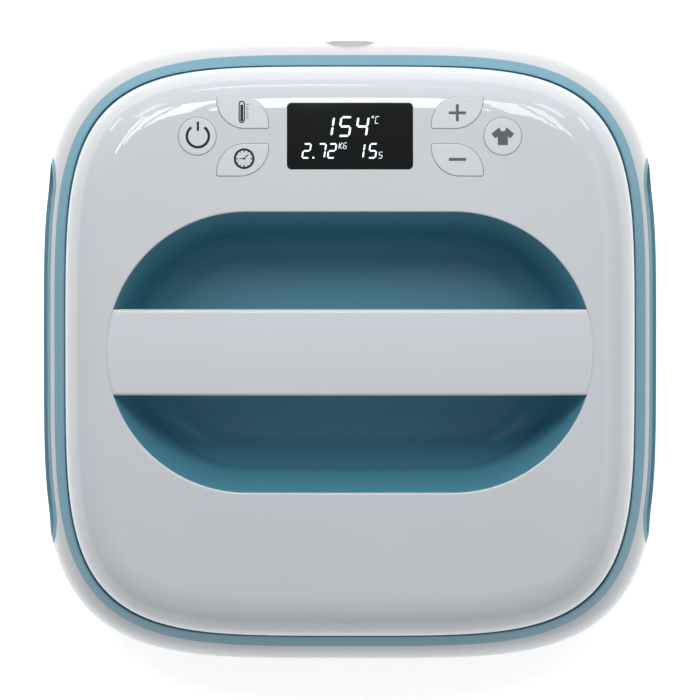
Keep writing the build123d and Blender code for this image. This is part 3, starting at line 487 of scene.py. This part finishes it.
print_grey = moulded("print_grey", (0.085, 0.095, 0.105), 0.7, grain=2600, depth=0.03)
segment_light = lit_segment("lit_segment", 0.55)
unit_light = lit_segment("lit_unit", 0.25)

node_finish = {
    "top_cover": white_cover, "lower_housing": white_housing, "trim_band": teal_band,
    "handle_bowl": teal_bowl, "handle_bar": white_handle, "handle_grip": white_handle,
    "side_grip_right": teal_grip, "side_grip_left": teal_grip, "display_lens": black_window,
    "cord_gland": pale_gland, "base_skirt": black_skirt, "heat_plate": plate_coating(),
    "handle_post_left": frame_grey, "handle_post_right": frame_grey, "inner_frame": frame_grey,
    "cord_clamp": frame_grey, "cell_holders": frame_grey, "handle_screws": zinc, "board_screws": zinc,
    "frame_screws": zinc, "housing_screws": zinc, "hanger_screws": zinc, "cell_buttons": zinc,
    "plate_studs": zinc, "load_cells": zinc, "display_module": case_black, "key_switches": case_black,
    "buzzer": case_black, "control_board": solder_green, "power_board": solder_green,
    "sensor_board": solder_green, "relays": case_blue, "terminal_blocks": case_blue,
    "transformer": tube_steel, "mains_capacitor": film_yellow, "triac_heatsink": sheet_steel,
    "ribbon_cable": ribbon_wires(), "heat_shield": sheet_steel, "insulation_blanket": fibre,
    "outer_element": tube_steel, "inner_element": tube_steel, "thermostat": disc_brass,
    "thermal_fuse": disc_brass, "temperature_sensor": disc_brass, "signal_leads": lead_white,
    "heater_leads": lead_red, "cell_leads": lead_white,
}


def paint(piece, finish):
    """Gives the piece this one material."""
    piece.data.materials.clear()
    piece.data.materials.append(finish)


for name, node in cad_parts.items():
    finish = node_finish.get(name)
    if finish is None:
        finish = case_black if name.endswith("_plunger") else white_key
    for spot in node.material_slots:
        spot.material = finish


def finished(piece, name, finish, body, slot, *nodes):
    """Smooths, names and paints a piece, and joins it to the frame."""
    only(piece)
    bpy.ops.object.shade_smooth_by_angle(angle=sharp_turn)
    apply(piece, "WEIGHTED_NORMAL", mode="FACE_AREA", keep_sharp=True)
    piece.name = name
    piece.data.name = name
    paint(piece, finish)
    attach(piece, body)
    if nodes:
        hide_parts(*nodes)
    return piece


# Top cover

def leaf_outline(side, row, grow, level):
    """Leaf-shaped key: two opposite corners nearly sharp, and two with a large bow."""
    half_x, half_y = leaf_half_length + grow, leaf_half_width + grow
    far = hypot(half_x, half_y) - 0.02 * mm
    sheet = plane(half_x, half_y)
    for bow, radius, steps in ((False, leaf_tip + grow, 8), (True, leaf_bow + grow, 28)):
        edit(sheet)
        pick(lambda v: hypot(v.co.x, v.co.y) > far and (v.co.x * v.co.y * side * row < 0) == bow, "verts")
        bpy.ops.mesh.bevel(offset=radius, segments=steps, profile=0.5, affect="VERTICES", clamp_overlap=False)
        done()
    sheet.location = (side * leaf_x, panel_y + row * leaf_row, level)
    return settle(sheet)


def round_outline(side, grow, level):
    """Round key, left or right of the others."""
    bpy.ops.object.select_all(action="DESELECT")
    bpy.ops.mesh.primitive_circle_add(vertices=72, radius=round_radius + grow, fill_type="NGON",
                                      location=(side * round_x, panel_y, level))
    return settle(bpy.context.object)


def window_outline(grow, level):
    """Display window."""
    half_x, half_y = window_half_length + grow, window_half_width + grow
    sheet = rounded_outline(half_x, half_y, window_corner + grow, 2, 0, 8)
    sheet.location = (0, panel_y, level)
    return settle(sheet)


key_outlines = {
    "power": lambda grow, level: round_outline(-1, grow, level),
    "temperature": lambda grow, level: leaf_outline(-1, 1, grow, level),
    "timer": lambda grow, level: leaf_outline(-1, -1, grow, level),
    "plus": lambda grow, level: leaf_outline(1, 1, grow, level),
    "minus": lambda grow, level: leaf_outline(1, -1, grow, level),
    "preset": lambda grow, level: round_outline(1, grow, level),
}


def recess_cutter(rim):
    """Tool for the recess: upright sides that flare out round its rim."""
    flare_steps, flare, past_rim = 5, radians(75), 2 * mm
    sections = [(0, crown_level - 40 * mm), (0, crown_level - 10 * mm), (0, crown_level - rim)]
    for i in range(1, flare_steps + 1):
        turn = flare * i / flare_steps
        sections.append((rim * (1 - cos(turn)), crown_level - rim * (1 - sin(turn))))
    grow, level = sections[-1]
    grow += past_rim * sin(flare)
    sections += [(grow, level + past_rim * cos(flare)), (grow, crown_level + 12 * mm)]
    cutter = skin([stadium_outline(grow, level) for grow, level in sections])
    return crown(closed_rims(cutter))


def cover_shell():
    """Crowned shell with a large rounding, the recess, and holes for the keys and the window."""
    shell = raise_face(square_outline(cover_half, cover_power, foot_level), crown_level - foot_level)
    edit(shell)
    pick_from(crown_level)
    round_edges(edge_radius, 20)
    pick(lambda f: f.normal.z < -0.9, "faces")
    bpy.ops.mesh.delete(type="FACE")
    shell = sliced(done(), 6 * mm)
    crown(shell, foot_level + 6 * mm, crown_level - edge_radius)
    apply(shell, "SOLIDIFY", thickness=cover_wall, offset=-1, use_even_offset=True)
    hole_start, hole_depth = crown_level - 30 * mm, 40 * mm
    cutters = [recess_cutter(0.8 * mm)]
    for outline in key_outlines.values():
        cutters.append(raise_face(outline(key_gap, hole_start), hole_depth))
    cutters.append(raise_face(window_outline(window_gap, hole_start), hole_depth))
    return cut(shell, *cutters)


finished(cover_shell(), "cover_shell", white_cover, "press", "cover_white", "top_cover")


# Housing, side grips and band

def body_half(level):
    """Half width of the housing at a level: part of one ellipse above the belly, and of another below it."""
    if level >= belly_level:
        reach, inset, turn = 30 * mm, 8.7 * mm, radians(62)
    else:
        reach, inset, turn = 20 * mm, 3 * mm, radians(50)
    tall, deep = reach / sin(turn), inset / (1 - cos(turn))
    return belly_half - deep * (1 - sqrt(max(0.0, 1 - ((level - belly_level) / tall) ** 2)))


def side_slot(grow, x0, x1):
    """Long round-ended prism along X."""
    length, tall = slot_half_length + grow, slot_half_height + grow
    prism = raise_face(rounded_outline(tall, length, tall, 2, 0, 24), x1 - x0)
    prism.rotation_euler = (0, radians(90), 0)
    prism.location = (x0, 0, grip_level)
    return weld(settle(prism))


def housing_shell():
    """Belly of the housing, its lip and inner wall, and holes for the grips, the gland and the screws."""
    lip_half, lip_height = 131 * mm, 3 * mm
    foot_round, foot_steps, belly_steps = 1.5 * mm, 5, 30
    foot_half = body_half(lip_level)
    sections = [(lip_half, lip_level + lip_height), (lip_half, lip_level)]
    for i in range(foot_steps, 0, -1):
        turn = radians(90 * i / foot_steps)
        sections.append((foot_half - foot_round * (1 - cos(turn)), lip_level + foot_round * (1 - sin(turn))))
    start = lip_level + foot_round
    for i in range(belly_steps + 1):
        level = start + (seam_level - start) * i / belly_steps
        sections.append((body_half(level), level))
    inner_levels = (seam_level, 48 * mm, 40 * mm, 30 * mm, 20 * mm, 12 * mm, lip_level + lip_height)
    sections += [(body_half(level) - housing_wall, level) for level in inner_levels]
    shell = skin([square_outline(half, belly_power, level) for half, level in sections], closed=True)

    quarter = (radians(90), 0, 0)
    gland_seat = cylinder(12 * mm, 4.8 * mm, (0, 138.2 * mm, gland_level), quarter)
    gland_recess = cylinder(9 * mm, 20 * mm, (0, 148.8 * mm, gland_level), quarter, 96)
    cord_bore = cylinder(6.1 * mm, 40 * mm, (0, 138 * mm, gland_level), quarter)
    slots = [side_slot(part_gap, 120 * mm, 150 * mm), side_slot(part_gap, -150 * mm, -120 * mm)]
    cut(shell, gland_seat, way="UNION")
    cut(shell, *slots, gland_recess, cord_bore)

    corner_post, edge_post = (113.4 * mm, 113.4 * mm), (40 * mm, 133.6 * mm)
    places = [(sx * x, sy * y) for x, y in (corner_post, edge_post) for sx in (-1, 1) for sy in (-1, 1)]
    for x, y in places:
        pillar = cylinder(3.8 * mm, 21.7 * mm, (x, y, 17.35 * mm), sides=48)
        screw_head = cylinder(3.5 * mm, 6 * mm, (x, y, 7 * mm), sides=48)
        screw_shank = cylinder(1.8 * mm, 30 * mm, (x, y, 18 * mm), sides=32)
        cut(shell, pillar, way="UNION")
        cut(shell, screw_head, screw_shank)
    return shell


finished(housing_shell(), "housing_shell", white_housing, "press", "housing_white", "lower_housing")


def side_tray(side):
    """Side pocket: a slim frame flush with the housing round a deep finger recess, with two tabs."""
    back, wall, bezel, outside = 127.27 * mm, 2.2 * mm, 2.7 * mm, 150 * mm
    body_steps, body_top = 24, seam_level - 0.2 * mm
    tray = side_slot(0, *sorted((side * back, side * outside)))
    levels = [lip_level + (body_top - lip_level) * i / body_steps for i in range(body_steps + 1)]
    body = closed_rims(skin([square_outline(body_half(z), belly_power, z) for z in levels]))
    cut(tray, body, way="INTERSECT")
    cut(tray, side_slot(-bezel, *sorted((side * (back + wall), side * outside))))
    apply(tray, "BEVEL", width=0.45 * mm, segments=3, limit_method="ANGLE", angle_limit=radians(40))
    tab_y, tab_length, tab_half_width, tab_thick = 70 * mm, 11 * mm, 6 * mm, 2.5 * mm
    for y in (-tab_y, tab_y):
        low, high = sorted((side * (back - tab_length), side * (back + 0.5 * mm)))
        tab = brick((low, y - tab_half_width, tab_level), (high, y + tab_half_width, tab_level + tab_thick))
        cut(tab, cylinder(1.8 * mm, 10 * mm, (side * (back - 6 * mm), y, tab_level), sides=32))
        cut(tray, tab, way="UNION")
    return tray


finished(side_tray(1), "side_tray_right", teal_grip, "press", "grip_teal", "side_grip_right")
finished(side_tray(-1), "side_tray_left", teal_grip, "press", "grip_teal", "side_grip_left")


def band_ring():
    """Sloping band with a narrow crest, and the channel beside the cover."""
    channel = 1.35 * mm
    inner = cover_half + channel
    bore = cover_half - 3 * mm
    slope_steps = 4
    slope_half, slope_level = seam_half - 0.15 * mm, seam_level + 0.3 * mm
    crest_half, crest_level = inner + 0.55 * mm, band_top - 0.12 * mm
    channel_floor = foot_level - 2.6 * mm
    seat_level = foot_level - 0.05 * mm
    outlines = [square_outline(seam_half, belly_power, seam_level)]
    for i in range(slope_steps + 1):
        share = i / slope_steps
        half = slope_half * (1 - share) + crest_half * share
        power = belly_power * (1 - share) + cover_power * share
        level = slope_level * (1 - share) + crest_level * share
        outlines.append(square_outline(half, power, level))
    for half, level in (
            (inner + 0.35 * mm, band_top), (inner + 0.1 * mm, band_top), (inner, band_top - 0.1 * mm),
            (inner, channel_floor), (cover_half, channel_floor), (cover_half, seat_level),
            (bore, seat_level), (bore, seam_level)):
        outlines.append(square_outline(half, cover_power, level))
    return skin(outlines, closed=True)


finished(band_ring(), "band_ring", teal_band, "press", "band_teal", "trim_band")


# Bowl and handle

def bowl_liner():
    """Finger bowl: leaning wall, large floor rounding, flat floor, and notches for the handle's ends."""
    slope = radians(10)
    lean = tan(slope)
    top = crown_level - 2.6 * mm
    mouth = top + 0.4 * mm / lean
    fillet = 16 * mm
    fillet_top = bowl_floor + fillet * (1 - sin(slope))
    wall_steps, fillet_steps = 12, 14
    sections = []
    for i in range(wall_steps + 1):
        level = top + (fillet_top - top) * i / wall_steps
        sections.append((part_gap - (mouth - level) * lean, level))
    centre = part_gap - (mouth - fillet_top) * lean - fillet * cos(slope)
    for i in range(1, fillet_steps + 1):
        turn = slope + (radians(90) - slope) * i / fillet_steps
        sections.append((centre + fillet * cos(turn), bowl_floor + fillet * (1 - sin(turn))))
    liner = skin([stadium_outline(grow, level) for grow, level in sections])
    edit(liner)
    pick(lambda e: e.is_boundary and e.verts[0].co.z < bowl_floor + merge_reach)
    bpy.ops.mesh.edge_face_add()
    bpy.ops.mesh.inset(thickness=4 * mm)
    liner = crown(weld(done()), 60 * mm, top)
    if sum(f.normal.z * f.area for f in liner.data.polygons) < 0:
        edit_whole(liner)
        bpy.ops.mesh.flip_normals()
        done()
    apply(liner, "SOLIDIFY", thickness=2.4 * mm, offset=-1, use_even_offset=True)

    notch_half, notch_floor, notch_top = bar_half_width + part_gap, 75.7 * mm, 110 * mm
    notch_inner, notch_outer = 85 * mm, 130 * mm
    for side in (-1, 1):
        low, high = sorted((side * notch_inner, side * notch_outer))
        notch = brick((low, -notch_half, notch_floor), (high, notch_half, notch_top))
        edit(notch)
        pick(lambda e: all(v.co.z < notch_floor + part_gap for v in e.verts)
             and abs(e.verts[0].co.y - e.verts[1].co.y) < hair)
        round_edges(9 * mm, 12)
        done()
        cut(liner, notch)
    return liner


finished(bowl_liner(), "bowl_liner", teal_bowl, "press", "bowl_teal", "handle_bowl")


def handle_top():
    """Upper half of the handle: straight sides, ends that follow the recess, an arched top, soft edges."""
    inner = recess_radius + 0.5 * mm
    straight = recess_half_length - recess_radius
    end = straight + sqrt(inner ** 2 - bar_half_width ** 2)
    outline = plane(end, bar_half_width, (0, 0, grip_top))
    edit(outline)
    pick(lambda e: abs(e.verts[0].co.x - e.verts[1].co.x) < hair)
    bpy.ops.mesh.subdivide(number_cuts=23)
    outline = done()
    for vertex in outline.data.vertices:
        vertex.co.x *= (straight + sqrt(inner ** 2 - vertex.co.y ** 2)) / end
    edit(outline)
    pick(lambda e: not e.is_boundary)
    bpy.ops.mesh.dissolve_edges(use_verts=False)
    top = raise_face(done(), bar_top - grip_top)
    edit(top)
    pick_from(bar_top)
    round_edges(1.5 * mm, 6)
    pick(lambda e: max(v.co.z for v in e.verts) < grip_top + hair)
    round_edges(0.2 * mm, 2)
    top = sliced(done())

    recess_rim = crown_level - recess_half_length ** 2 / (2 * crown_radius)
    rise = bar_top - recess_rim - 0.5 * mm
    arch_radius = (recess_half_length ** 2 + rise ** 2) / (2 * rise)
    cross_sag = 0.9 * mm
    bent_height = bar_top - grip_top - 2 * mm
    for vertex in top.data.vertices:
        share = min(1.0, max(0.0, (vertex.co.z - grip_top) / bent_height))
        vertex.co.z -= (arch_radius - sqrt(arch_radius ** 2 - vertex.co.x ** 2)) * share
        vertex.co.z -= cross_sag * (vertex.co.y / bar_half_width) ** 2 * share
    return top


finished(handle_top(), "handle_top", white_handle, "press", "handle_white", "handle_bar")


# Keys and window

def cap(outline, level, thick, edge, steps):
    """Low prism with rounded upper edges that follows the crown."""
    block = raise_face(outline, -thick)
    edit(block)
    pick_from(level)
    round_edges(edge, steps)
    return crown(sliced(done()))


key_level = crown_level + key_proud
for name, outline in key_outlines.items():
    key = cap(outline(0, key_level), key_level, key_thick, key_edge, 5)
    finished(key, f"{name}_cap", white_key, f"{name}_button", "key_white", f"{name}_key")

lens = cap(window_outline(0, crown_level), crown_level, window_thick, window_edge, 4)
finished(lens, "window_lens", black_window, "press", "lens_black", "display_lens")


# Printed signs and lit characters

def stroke_print(sheets, level):
    """Makes flat signs into one thin print on the crown."""
    sign = raise_face(joined(sheets), print_thick)
    for vertex in sign.data.vertices:
        vertex.co.z += level
    return crown(sign)


def bar_sign(x0, x1, y0, y1):
    """Flat rectangle between two places across and two along."""
    return plane((x1 - x0) / 2, (y1 - y0) / 2, ((x0 + x1) / 2, (y0 + y1) / 2, 0))


def arc_sign(x, y, inner, outer, start, stop, steps=48):
    """Flat ring, or part of one between two angles in degrees: a radial edge that is spun round."""
    sheet = plane(outer, outer)
    mesh = bmesh.new()
    turn = radians(start)
    ends = [mesh.verts.new((radius * cos(turn), radius * sin(turn), 0)) for radius in (inner, outer)]
    mesh.edges.new(ends)
    mesh.to_mesh(sheet.data)
    mesh.free()
    edit_whole(sheet)
    bpy.ops.mesh.spin(steps=steps, angle=radians(start - stop), center=(0, 0, 0), axis=(0, 0, 1))
    bpy.ops.mesh.select_all(action="SELECT")
    bpy.ops.mesh.remove_doubles(threshold=hair)
    done()
    sheet.location = (x, y, 0)
    return settle(sheet)


def dot_sign(x, y, radius, steps):
    """Flat disc."""
    pinhole = 0.02 * mm
    return arc_sign(x, y, pinhole, radius, 0, 360, steps)


def line_sign(start, stop, stroke, pointed=False):
    """Flat straight stroke between two points, its ends cut square or drawn out to a point."""
    run = Vector(stop) - Vector(start)
    length = run.length - (stroke if pointed else 0)
    same = 1e-7
    sheet = bar_sign(-length / 2, length / 2, -stroke / 2, stroke / 2)
    if pointed:
        edit(sheet)
        pick(lambda e: abs(e.verts[0].co.x - e.verts[1].co.x) < same)
        bpy.ops.mesh.subdivide(number_cuts=1)
        done()
        for way in (-1, 1):
            edit(sheet)
            pick(lambda v: way * v.co.x > 0 and abs(v.co.y) < same, "verts")
            bpy.ops.transform.translate(value=(way * stroke / 2, 0, 0))
            done()
    middle = (Vector(start) + Vector(stop)) / 2
    sheet.rotation_euler = (0, 0, atan2(run.y, run.x))
    sheet.location = (middle.x, middle.y, 0)
    return settle(sheet)


def lean_over(sheets, base, slope=0.15):
    """Leans flat signs to the right, from a base line."""
    for sheet in sheets:
        for vertex in sheet.data.vertices:
            vertex.co.x += (vertex.co.y - base) * slope
    return sheets


# The strokes of each character: a to f run clockwise from the top one, and g lies across the middle
digit_strokes = {
    "1": "bc", "2": "abged", "4": "fgbc", "5": "afgcd", "7": "abc", "C": "adef", "G": "afedcg", "S": "afgcd",
}


def digit(sign, x, y, width, height, stroke):
    """Seven-segment character between its lower left corner and its width and height."""
    left, right = x + stroke / 2, x + width - stroke / 2
    low, high = y + stroke / 2, y + height - stroke / 2
    middle = (low + high) / 2
    gap = stroke * 0.16
    ends = {
        "a": ((left + gap, high), (right - gap, high)),
        "b": ((right, high - gap), (right, middle + gap)),
        "c": ((right, middle - gap), (right, low + gap)),
        "d": ((left + gap, low), (right - gap, low)),
        "e": ((left, middle - gap), (left, low + gap)),
        "f": ((left, high - gap), (left, middle + gap)),
        "g": ((left + gap, middle), (right - gap, middle)),
    }
    return [line_sign(*ends[part], stroke, pointed=True) for part in digit_strokes[sign]]


def display_digits():
    """Lit numbers: 154, 2.72 and 15."""
    large, small = 0.92 * mm, 0.7 * mm
    large_low, small_low = panel_y - 0.4 * mm, panel_y - 9.9 * mm
    point_left, point_size = -16.4 * mm, 0.8 * mm
    sheets = []
    for sign, x in (("1", -12.5), ("5", -4.8), ("4", 2.6)):
        sheets += lean_over(digit(sign, x * mm, large_low, 5.4 * mm, 9.1 * mm, large), panel_y + 4 * mm)
    for sign, x in (("2", -20.8), ("7", -14.2), ("2", -9.7), ("1", 2.7), ("5", 8.1)):
        sheets += lean_over(digit(sign, x * mm, small_low, 3.7 * mm, 6.8 * mm, small), panel_y - 6.5 * mm)
    sheets.append(bar_sign(point_left, point_left + point_size, small_low, small_low + point_size))
    return sheets


def display_units():
    """Lit units: °C, KG and S."""
    y, thin = panel_y, 0.3 * mm
    sheets = [arc_sign(10 * mm, y + 8.3 * mm, 0.3 * mm, 0.55 * mm, 0, 360, 16)]
    sheets += lean_over(digit("C", 11 * mm, y + 5.4 * mm, 1.75 * mm, 3.3 * mm, thin), y + 7 * mm)
    stem, low, high = -4.7 * mm, y - 5.6 * mm, y - 3 * mm
    middle, arms, arm_reach = (low + high) / 2, stem + 0.2 * mm, stem + 1.2 * mm
    letter_k = [
        line_sign((stem, low), (stem, high), thin),
        line_sign((arms, middle), (arm_reach, high), thin),
        line_sign((arms, middle), (arm_reach, low), thin),
    ]
    sheets += lean_over(letter_k, middle)
    sheets += lean_over(digit("G", -3 * mm, y - 5.7 * mm, 1.6 * mm, 2.8 * mm, thin), middle)
    sheets += lean_over(digit("S", 12.5 * mm, y - 9.9 * mm, 1.7 * mm, 3 * mm, thin), y - 8.4 * mm)
    return sheets


def power_sign():
    """Ring with a gap at the rear and a stem in it."""
    x, y = -66.5 * mm, panel_y
    ring = arc_sign(x, y, 4.25 * mm, 5.4 * mm, 126, 414)
    stem = bar_sign(x - 0.5 * mm, x + 0.5 * mm, y + 2.3 * mm, y + 6.4 * mm)
    return [ring, stem]


def thermometer_sign():
    """Round-ended glass, its filling, and a scale of long and short marks."""
    x, y = -47.3 * mm, panel_y + 10.6 * mm
    half, stroke, tall, bulb, fill_half = 1.4 * mm, 0.5 * mm, 3.5 * mm, 0.7 * mm, 0.6 * mm
    filled = y + tall - 0.3 * mm
    sheets = [
        arc_sign(x, y + tall, half - stroke, half, 0, 180, 24),
        arc_sign(x, y - tall, half - stroke, half, 180, 360, 24),
        bar_sign(x - half, x - half + stroke, y - tall, y + tall),
        bar_sign(x + half - stroke, x + half, y - tall, y + tall),
        bar_sign(x - fill_half, x + fill_half, y - tall, filled),
        dot_sign(x, y - tall, bulb, 24),
    ]
    marks, pitch, thin_half = 7, 0.95 * mm, 0.14 * mm
    for i in range(marks):
        level = filled - i * pitch
        reach = (3.0 if i % 2 == 0 else 2.6) * mm
        sheets.append(bar_sign(x + 2 * mm, x + reach, level - thin_half, level + thin_half))
    return sheets


def clock_sign():
    """Dial with twelve marks, the quarter ones longer, and two hands."""
    x, y = -46.2 * mm, panel_y - 9.9 * mm
    sheets = [arc_sign(x, y, 3.6 * mm, 4.55 * mm, 0, 360), dot_sign(x, y, 0.5 * mm, 16)]
    outer = 3.7 * mm
    for i in range(12):
        turn = radians(30 * i)
        inner = (2.75 if i % 3 == 0 else 3.1) * mm
        stroke = (0.5 if i % 3 == 0 else 0.34) * mm
        start, stop = [(x + r * cos(turn), y + r * sin(turn)) for r in (inner, outer)]
        sheets.append(line_sign(start, stop, stroke))
    sheets.append(line_sign((x, y), (x + 1.75 * mm, y + 1.75 * mm), 0.42 * mm))
    sheets.append(line_sign((x, y), (x - 2.1 * mm, y), 0.34 * mm))
    return sheets


def plus_sign(row, both):
    """Stroke across, and for a plus the two halves of the stroke along."""
    x, y = leaf_x, panel_y + row * 10.2 * mm
    half, thick_half = 3.75 * mm, 0.65 * mm
    sheets = [bar_sign(x - half, x + half, y - thick_half, y + thick_half)]
    if both:
        sheets.append(bar_sign(x - thick_half, x + thick_half, y + thick_half, y + half))
        sheets.append(bar_sign(x - thick_half, x + thick_half, y - half, y - thick_half))
    return sheets


def shirt_sign():
    """Plain T-shirt: body, two sleeves and a round neck, of which a thin slice's upper face is kept."""
    x, y, tall, beyond = round_x, panel_y, 1 * mm, 9 * mm
    body = brick((x - 2.2 * mm, y - 3.9 * mm, 0), (x + 2.2 * mm, y + 3.1 * mm, tall))
    for way in (-1, 1):
        sleeve = brick((-1.35 * mm, -2.2 * mm, -0.2 * mm), (1.35 * mm, 2.2 * mm, tall + 0.2 * mm))
        sleeve.rotation_euler = (0, 0, radians(way * 50))
        sleeve.location = (x + way * 2.45 * mm, y + 1.45 * mm, 0)
        cut(body, settle(sleeve), way="UNION")
    cut(body, cylinder(1.35 * mm, 4 * mm, (x, y + 3.5 * mm, 0), sides=32))
    for low, high in ((0.3 * mm, 4 * mm), (-4 * mm, 0.2 * mm)):
        cut(body, brick((x - beyond, y - beyond, low), (x + beyond, y + beyond, high)))
    edit(body)
    pick(lambda f: f.normal.z < 0.9, "faces")
    bpy.ops.mesh.delete(type="FACE")
    done()
    for vertex in body.data.vertices:
        vertex.co.z = 0
    return [body]


for sheets, name, finish, body in (
        (power_sign(), "power_sign", print_dark, "power_button"),
        (thermometer_sign(), "thermometer_sign", print_dark, "temperature_button"),
        (clock_sign(), "clock_sign", print_dark, "timer_button"),
        (plus_sign(1, True), "plus_sign", print_grey, "plus_button"),
        (plus_sign(-1, False), "minus_sign", print_grey, "minus_button"),
        (shirt_sign(), "shirt_sign", print_grey, "preset_button")):
    finished(stroke_print(sheets, key_level), name, finish, body, "key_white")
finished(stroke_print(display_digits(), crown_level), "lit_digits", segment_light, "press", "lens_black")
finished(stroke_print(display_units(), crown_level), "lit_units", unit_light, "press", "lens_black")


# Studio

def softbox(name, place, aim, size_x, size_y, glow):
    """Light with a bright rectangular face of that glow, at a place and facing its aim."""
    light = bpy.data.lights.new(name, "AREA")
    light.shape = "RECTANGLE"
    light.size = size_x
    light.size_y = size_y
    light.energy = glow * pi * size_x * size_y
    holder = bpy.data.objects.new(name, light)
    bpy.context.scene.collection.objects.link(holder)
    holder.location = place
    direction = Vector(aim) - Vector(place)
    holder.rotation_euler = direction.to_track_quat("-Z", "Y").to_euler()


def window_pane(name, left, right, near, far, glow):
    """Bright pane in the level of the ceiling, between these places, facing down."""
    x, y, ceiling = (left + right) / 2, (near + far) / 2, 1.5
    softbox(name, (x, y, ceiling), (x, y, 0), right - left, far - near, glow)


def wall_box(name, bearing, height, width, tall, glow):
    """Soft box round the press: its bearing and height as angles, and the glow of its face."""
    reach = 1.6
    aim = Vector((0, 0.1, 0.08))
    turn, lift = radians(bearing), radians(height)
    way = Vector((sin(turn) * cos(lift), cos(turn) * cos(lift), sin(lift)))
    softbox(name, aim + reach * way, aim, width, tall, glow)


# Panes as left, right, near and far places in metres, and their share of the glow
window_glow = 7.5
panes = (
    (-1.04, -0.88, 0.64, 1.40, 1.0), (-0.80, -0.62, 0.61, 1.40, 1.0), (-0.55, -0.36, 0.60, 1.40, 1.0),
    (-0.30, 0.29, 0.52, 1.33, 1.0), (0.34, 0.53, 0.56, 1.40, 0.8), (0.60, 0.82, 0.66, 1.45, 0.7),
)
for i, (left, right, near, far, share) in enumerate(panes):
    window_pane(f"window_{i}", left, right, near, far, share * window_glow)

# Side windows as bearing and height in degrees, width and tallness in metres
side_windows = (
    (-34, 31, 0.34, 0.22), (-50, 8, 0.24, 0.18), (34, 31, 0.34, 0.22), (50, 8, 0.24, 0.18),
    (-8, 15, 0.5, 0.10),
)
for i, (bearing, height, width, tall) in enumerate(side_windows):
    wall_box(f"side_window_{i}", bearing, height, width, tall, 0.5 * window_glow)
wall_box("rear_box", 0, 25, 2.0, 0.5, 0.25)
wall_box("front_box", 180, 32, 2.0, 0.5, 0.2)
wall_box("right_box", 90, 38, 1.4, 0.5, 0.6)

world = bpy.data.worlds.new("studio")
world.use_nodes = True
sky = world.node_tree.nodes["Background"]
sky.inputs["Color"].default_value = (0.93, 0.96, 1.0, 1)
sky.inputs["Strength"].default_value = 0.38
bpy.context.scene.world = world
bpy.context.scene.view_settings.view_transform = "Standard"


def floor_white():
    """Plain white that glows a little, and is clear when it is seen from below."""
    finish, tree, shader = nodes_of("floor_white")
    shader.inputs["Base Color"].default_value = (0.96, 0.96, 0.96, 1)
    shader.inputs["Roughness"].default_value = 0.9
    shader.inputs["Emission Color"].default_value = (1, 1, 1, 1)
    shader.inputs["Emission Strength"].default_value = 0.56
    mix = tree.nodes.new("ShaderNodeMixShader")
    wire(tree, tree.nodes.new("ShaderNodeNewGeometry").outputs["Backfacing"], mix.inputs["Fac"])
    wire(tree, shader.outputs["BSDF"], mix.inputs[1])
    wire(tree, tree.nodes.new("ShaderNodeBsdfTransparent").outputs["BSDF"], mix.inputs[2])
    wire(tree, mix.outputs["Shader"], tree.nodes["Material Output"].inputs["Surface"])
    return finish


floor_half = 6
floor = plane(floor_half, floor_half)
floor.name = "studio_floor"
paint(floor, floor_white())

# Camera: the picture is photo_size pixels wide, and the lens is focal_pixels long in the same pixels
sensor, photo_size, focal_pixels = 36, 700, 2782
camera_data = bpy.data.cameras.new("camera")
camera_data.sensor_width = sensor
camera_data.lens = focal_pixels / photo_size * sensor
camera = bpy.data.objects.new("camera", camera_data)
bpy.context.scene.collection.objects.link(camera)
camera.location = (0.0, 0.020, 1.310)
camera_aim = Vector((0.0003, 0.0, 0.026))
back = (camera.location - camera_aim).normalized()
right = Vector((1, 0, 0))
camera.rotation_euler = Matrix((right, back.cross(right).normalized(), back)).transposed().to_euler()
bpy.context.scene.camera = camera
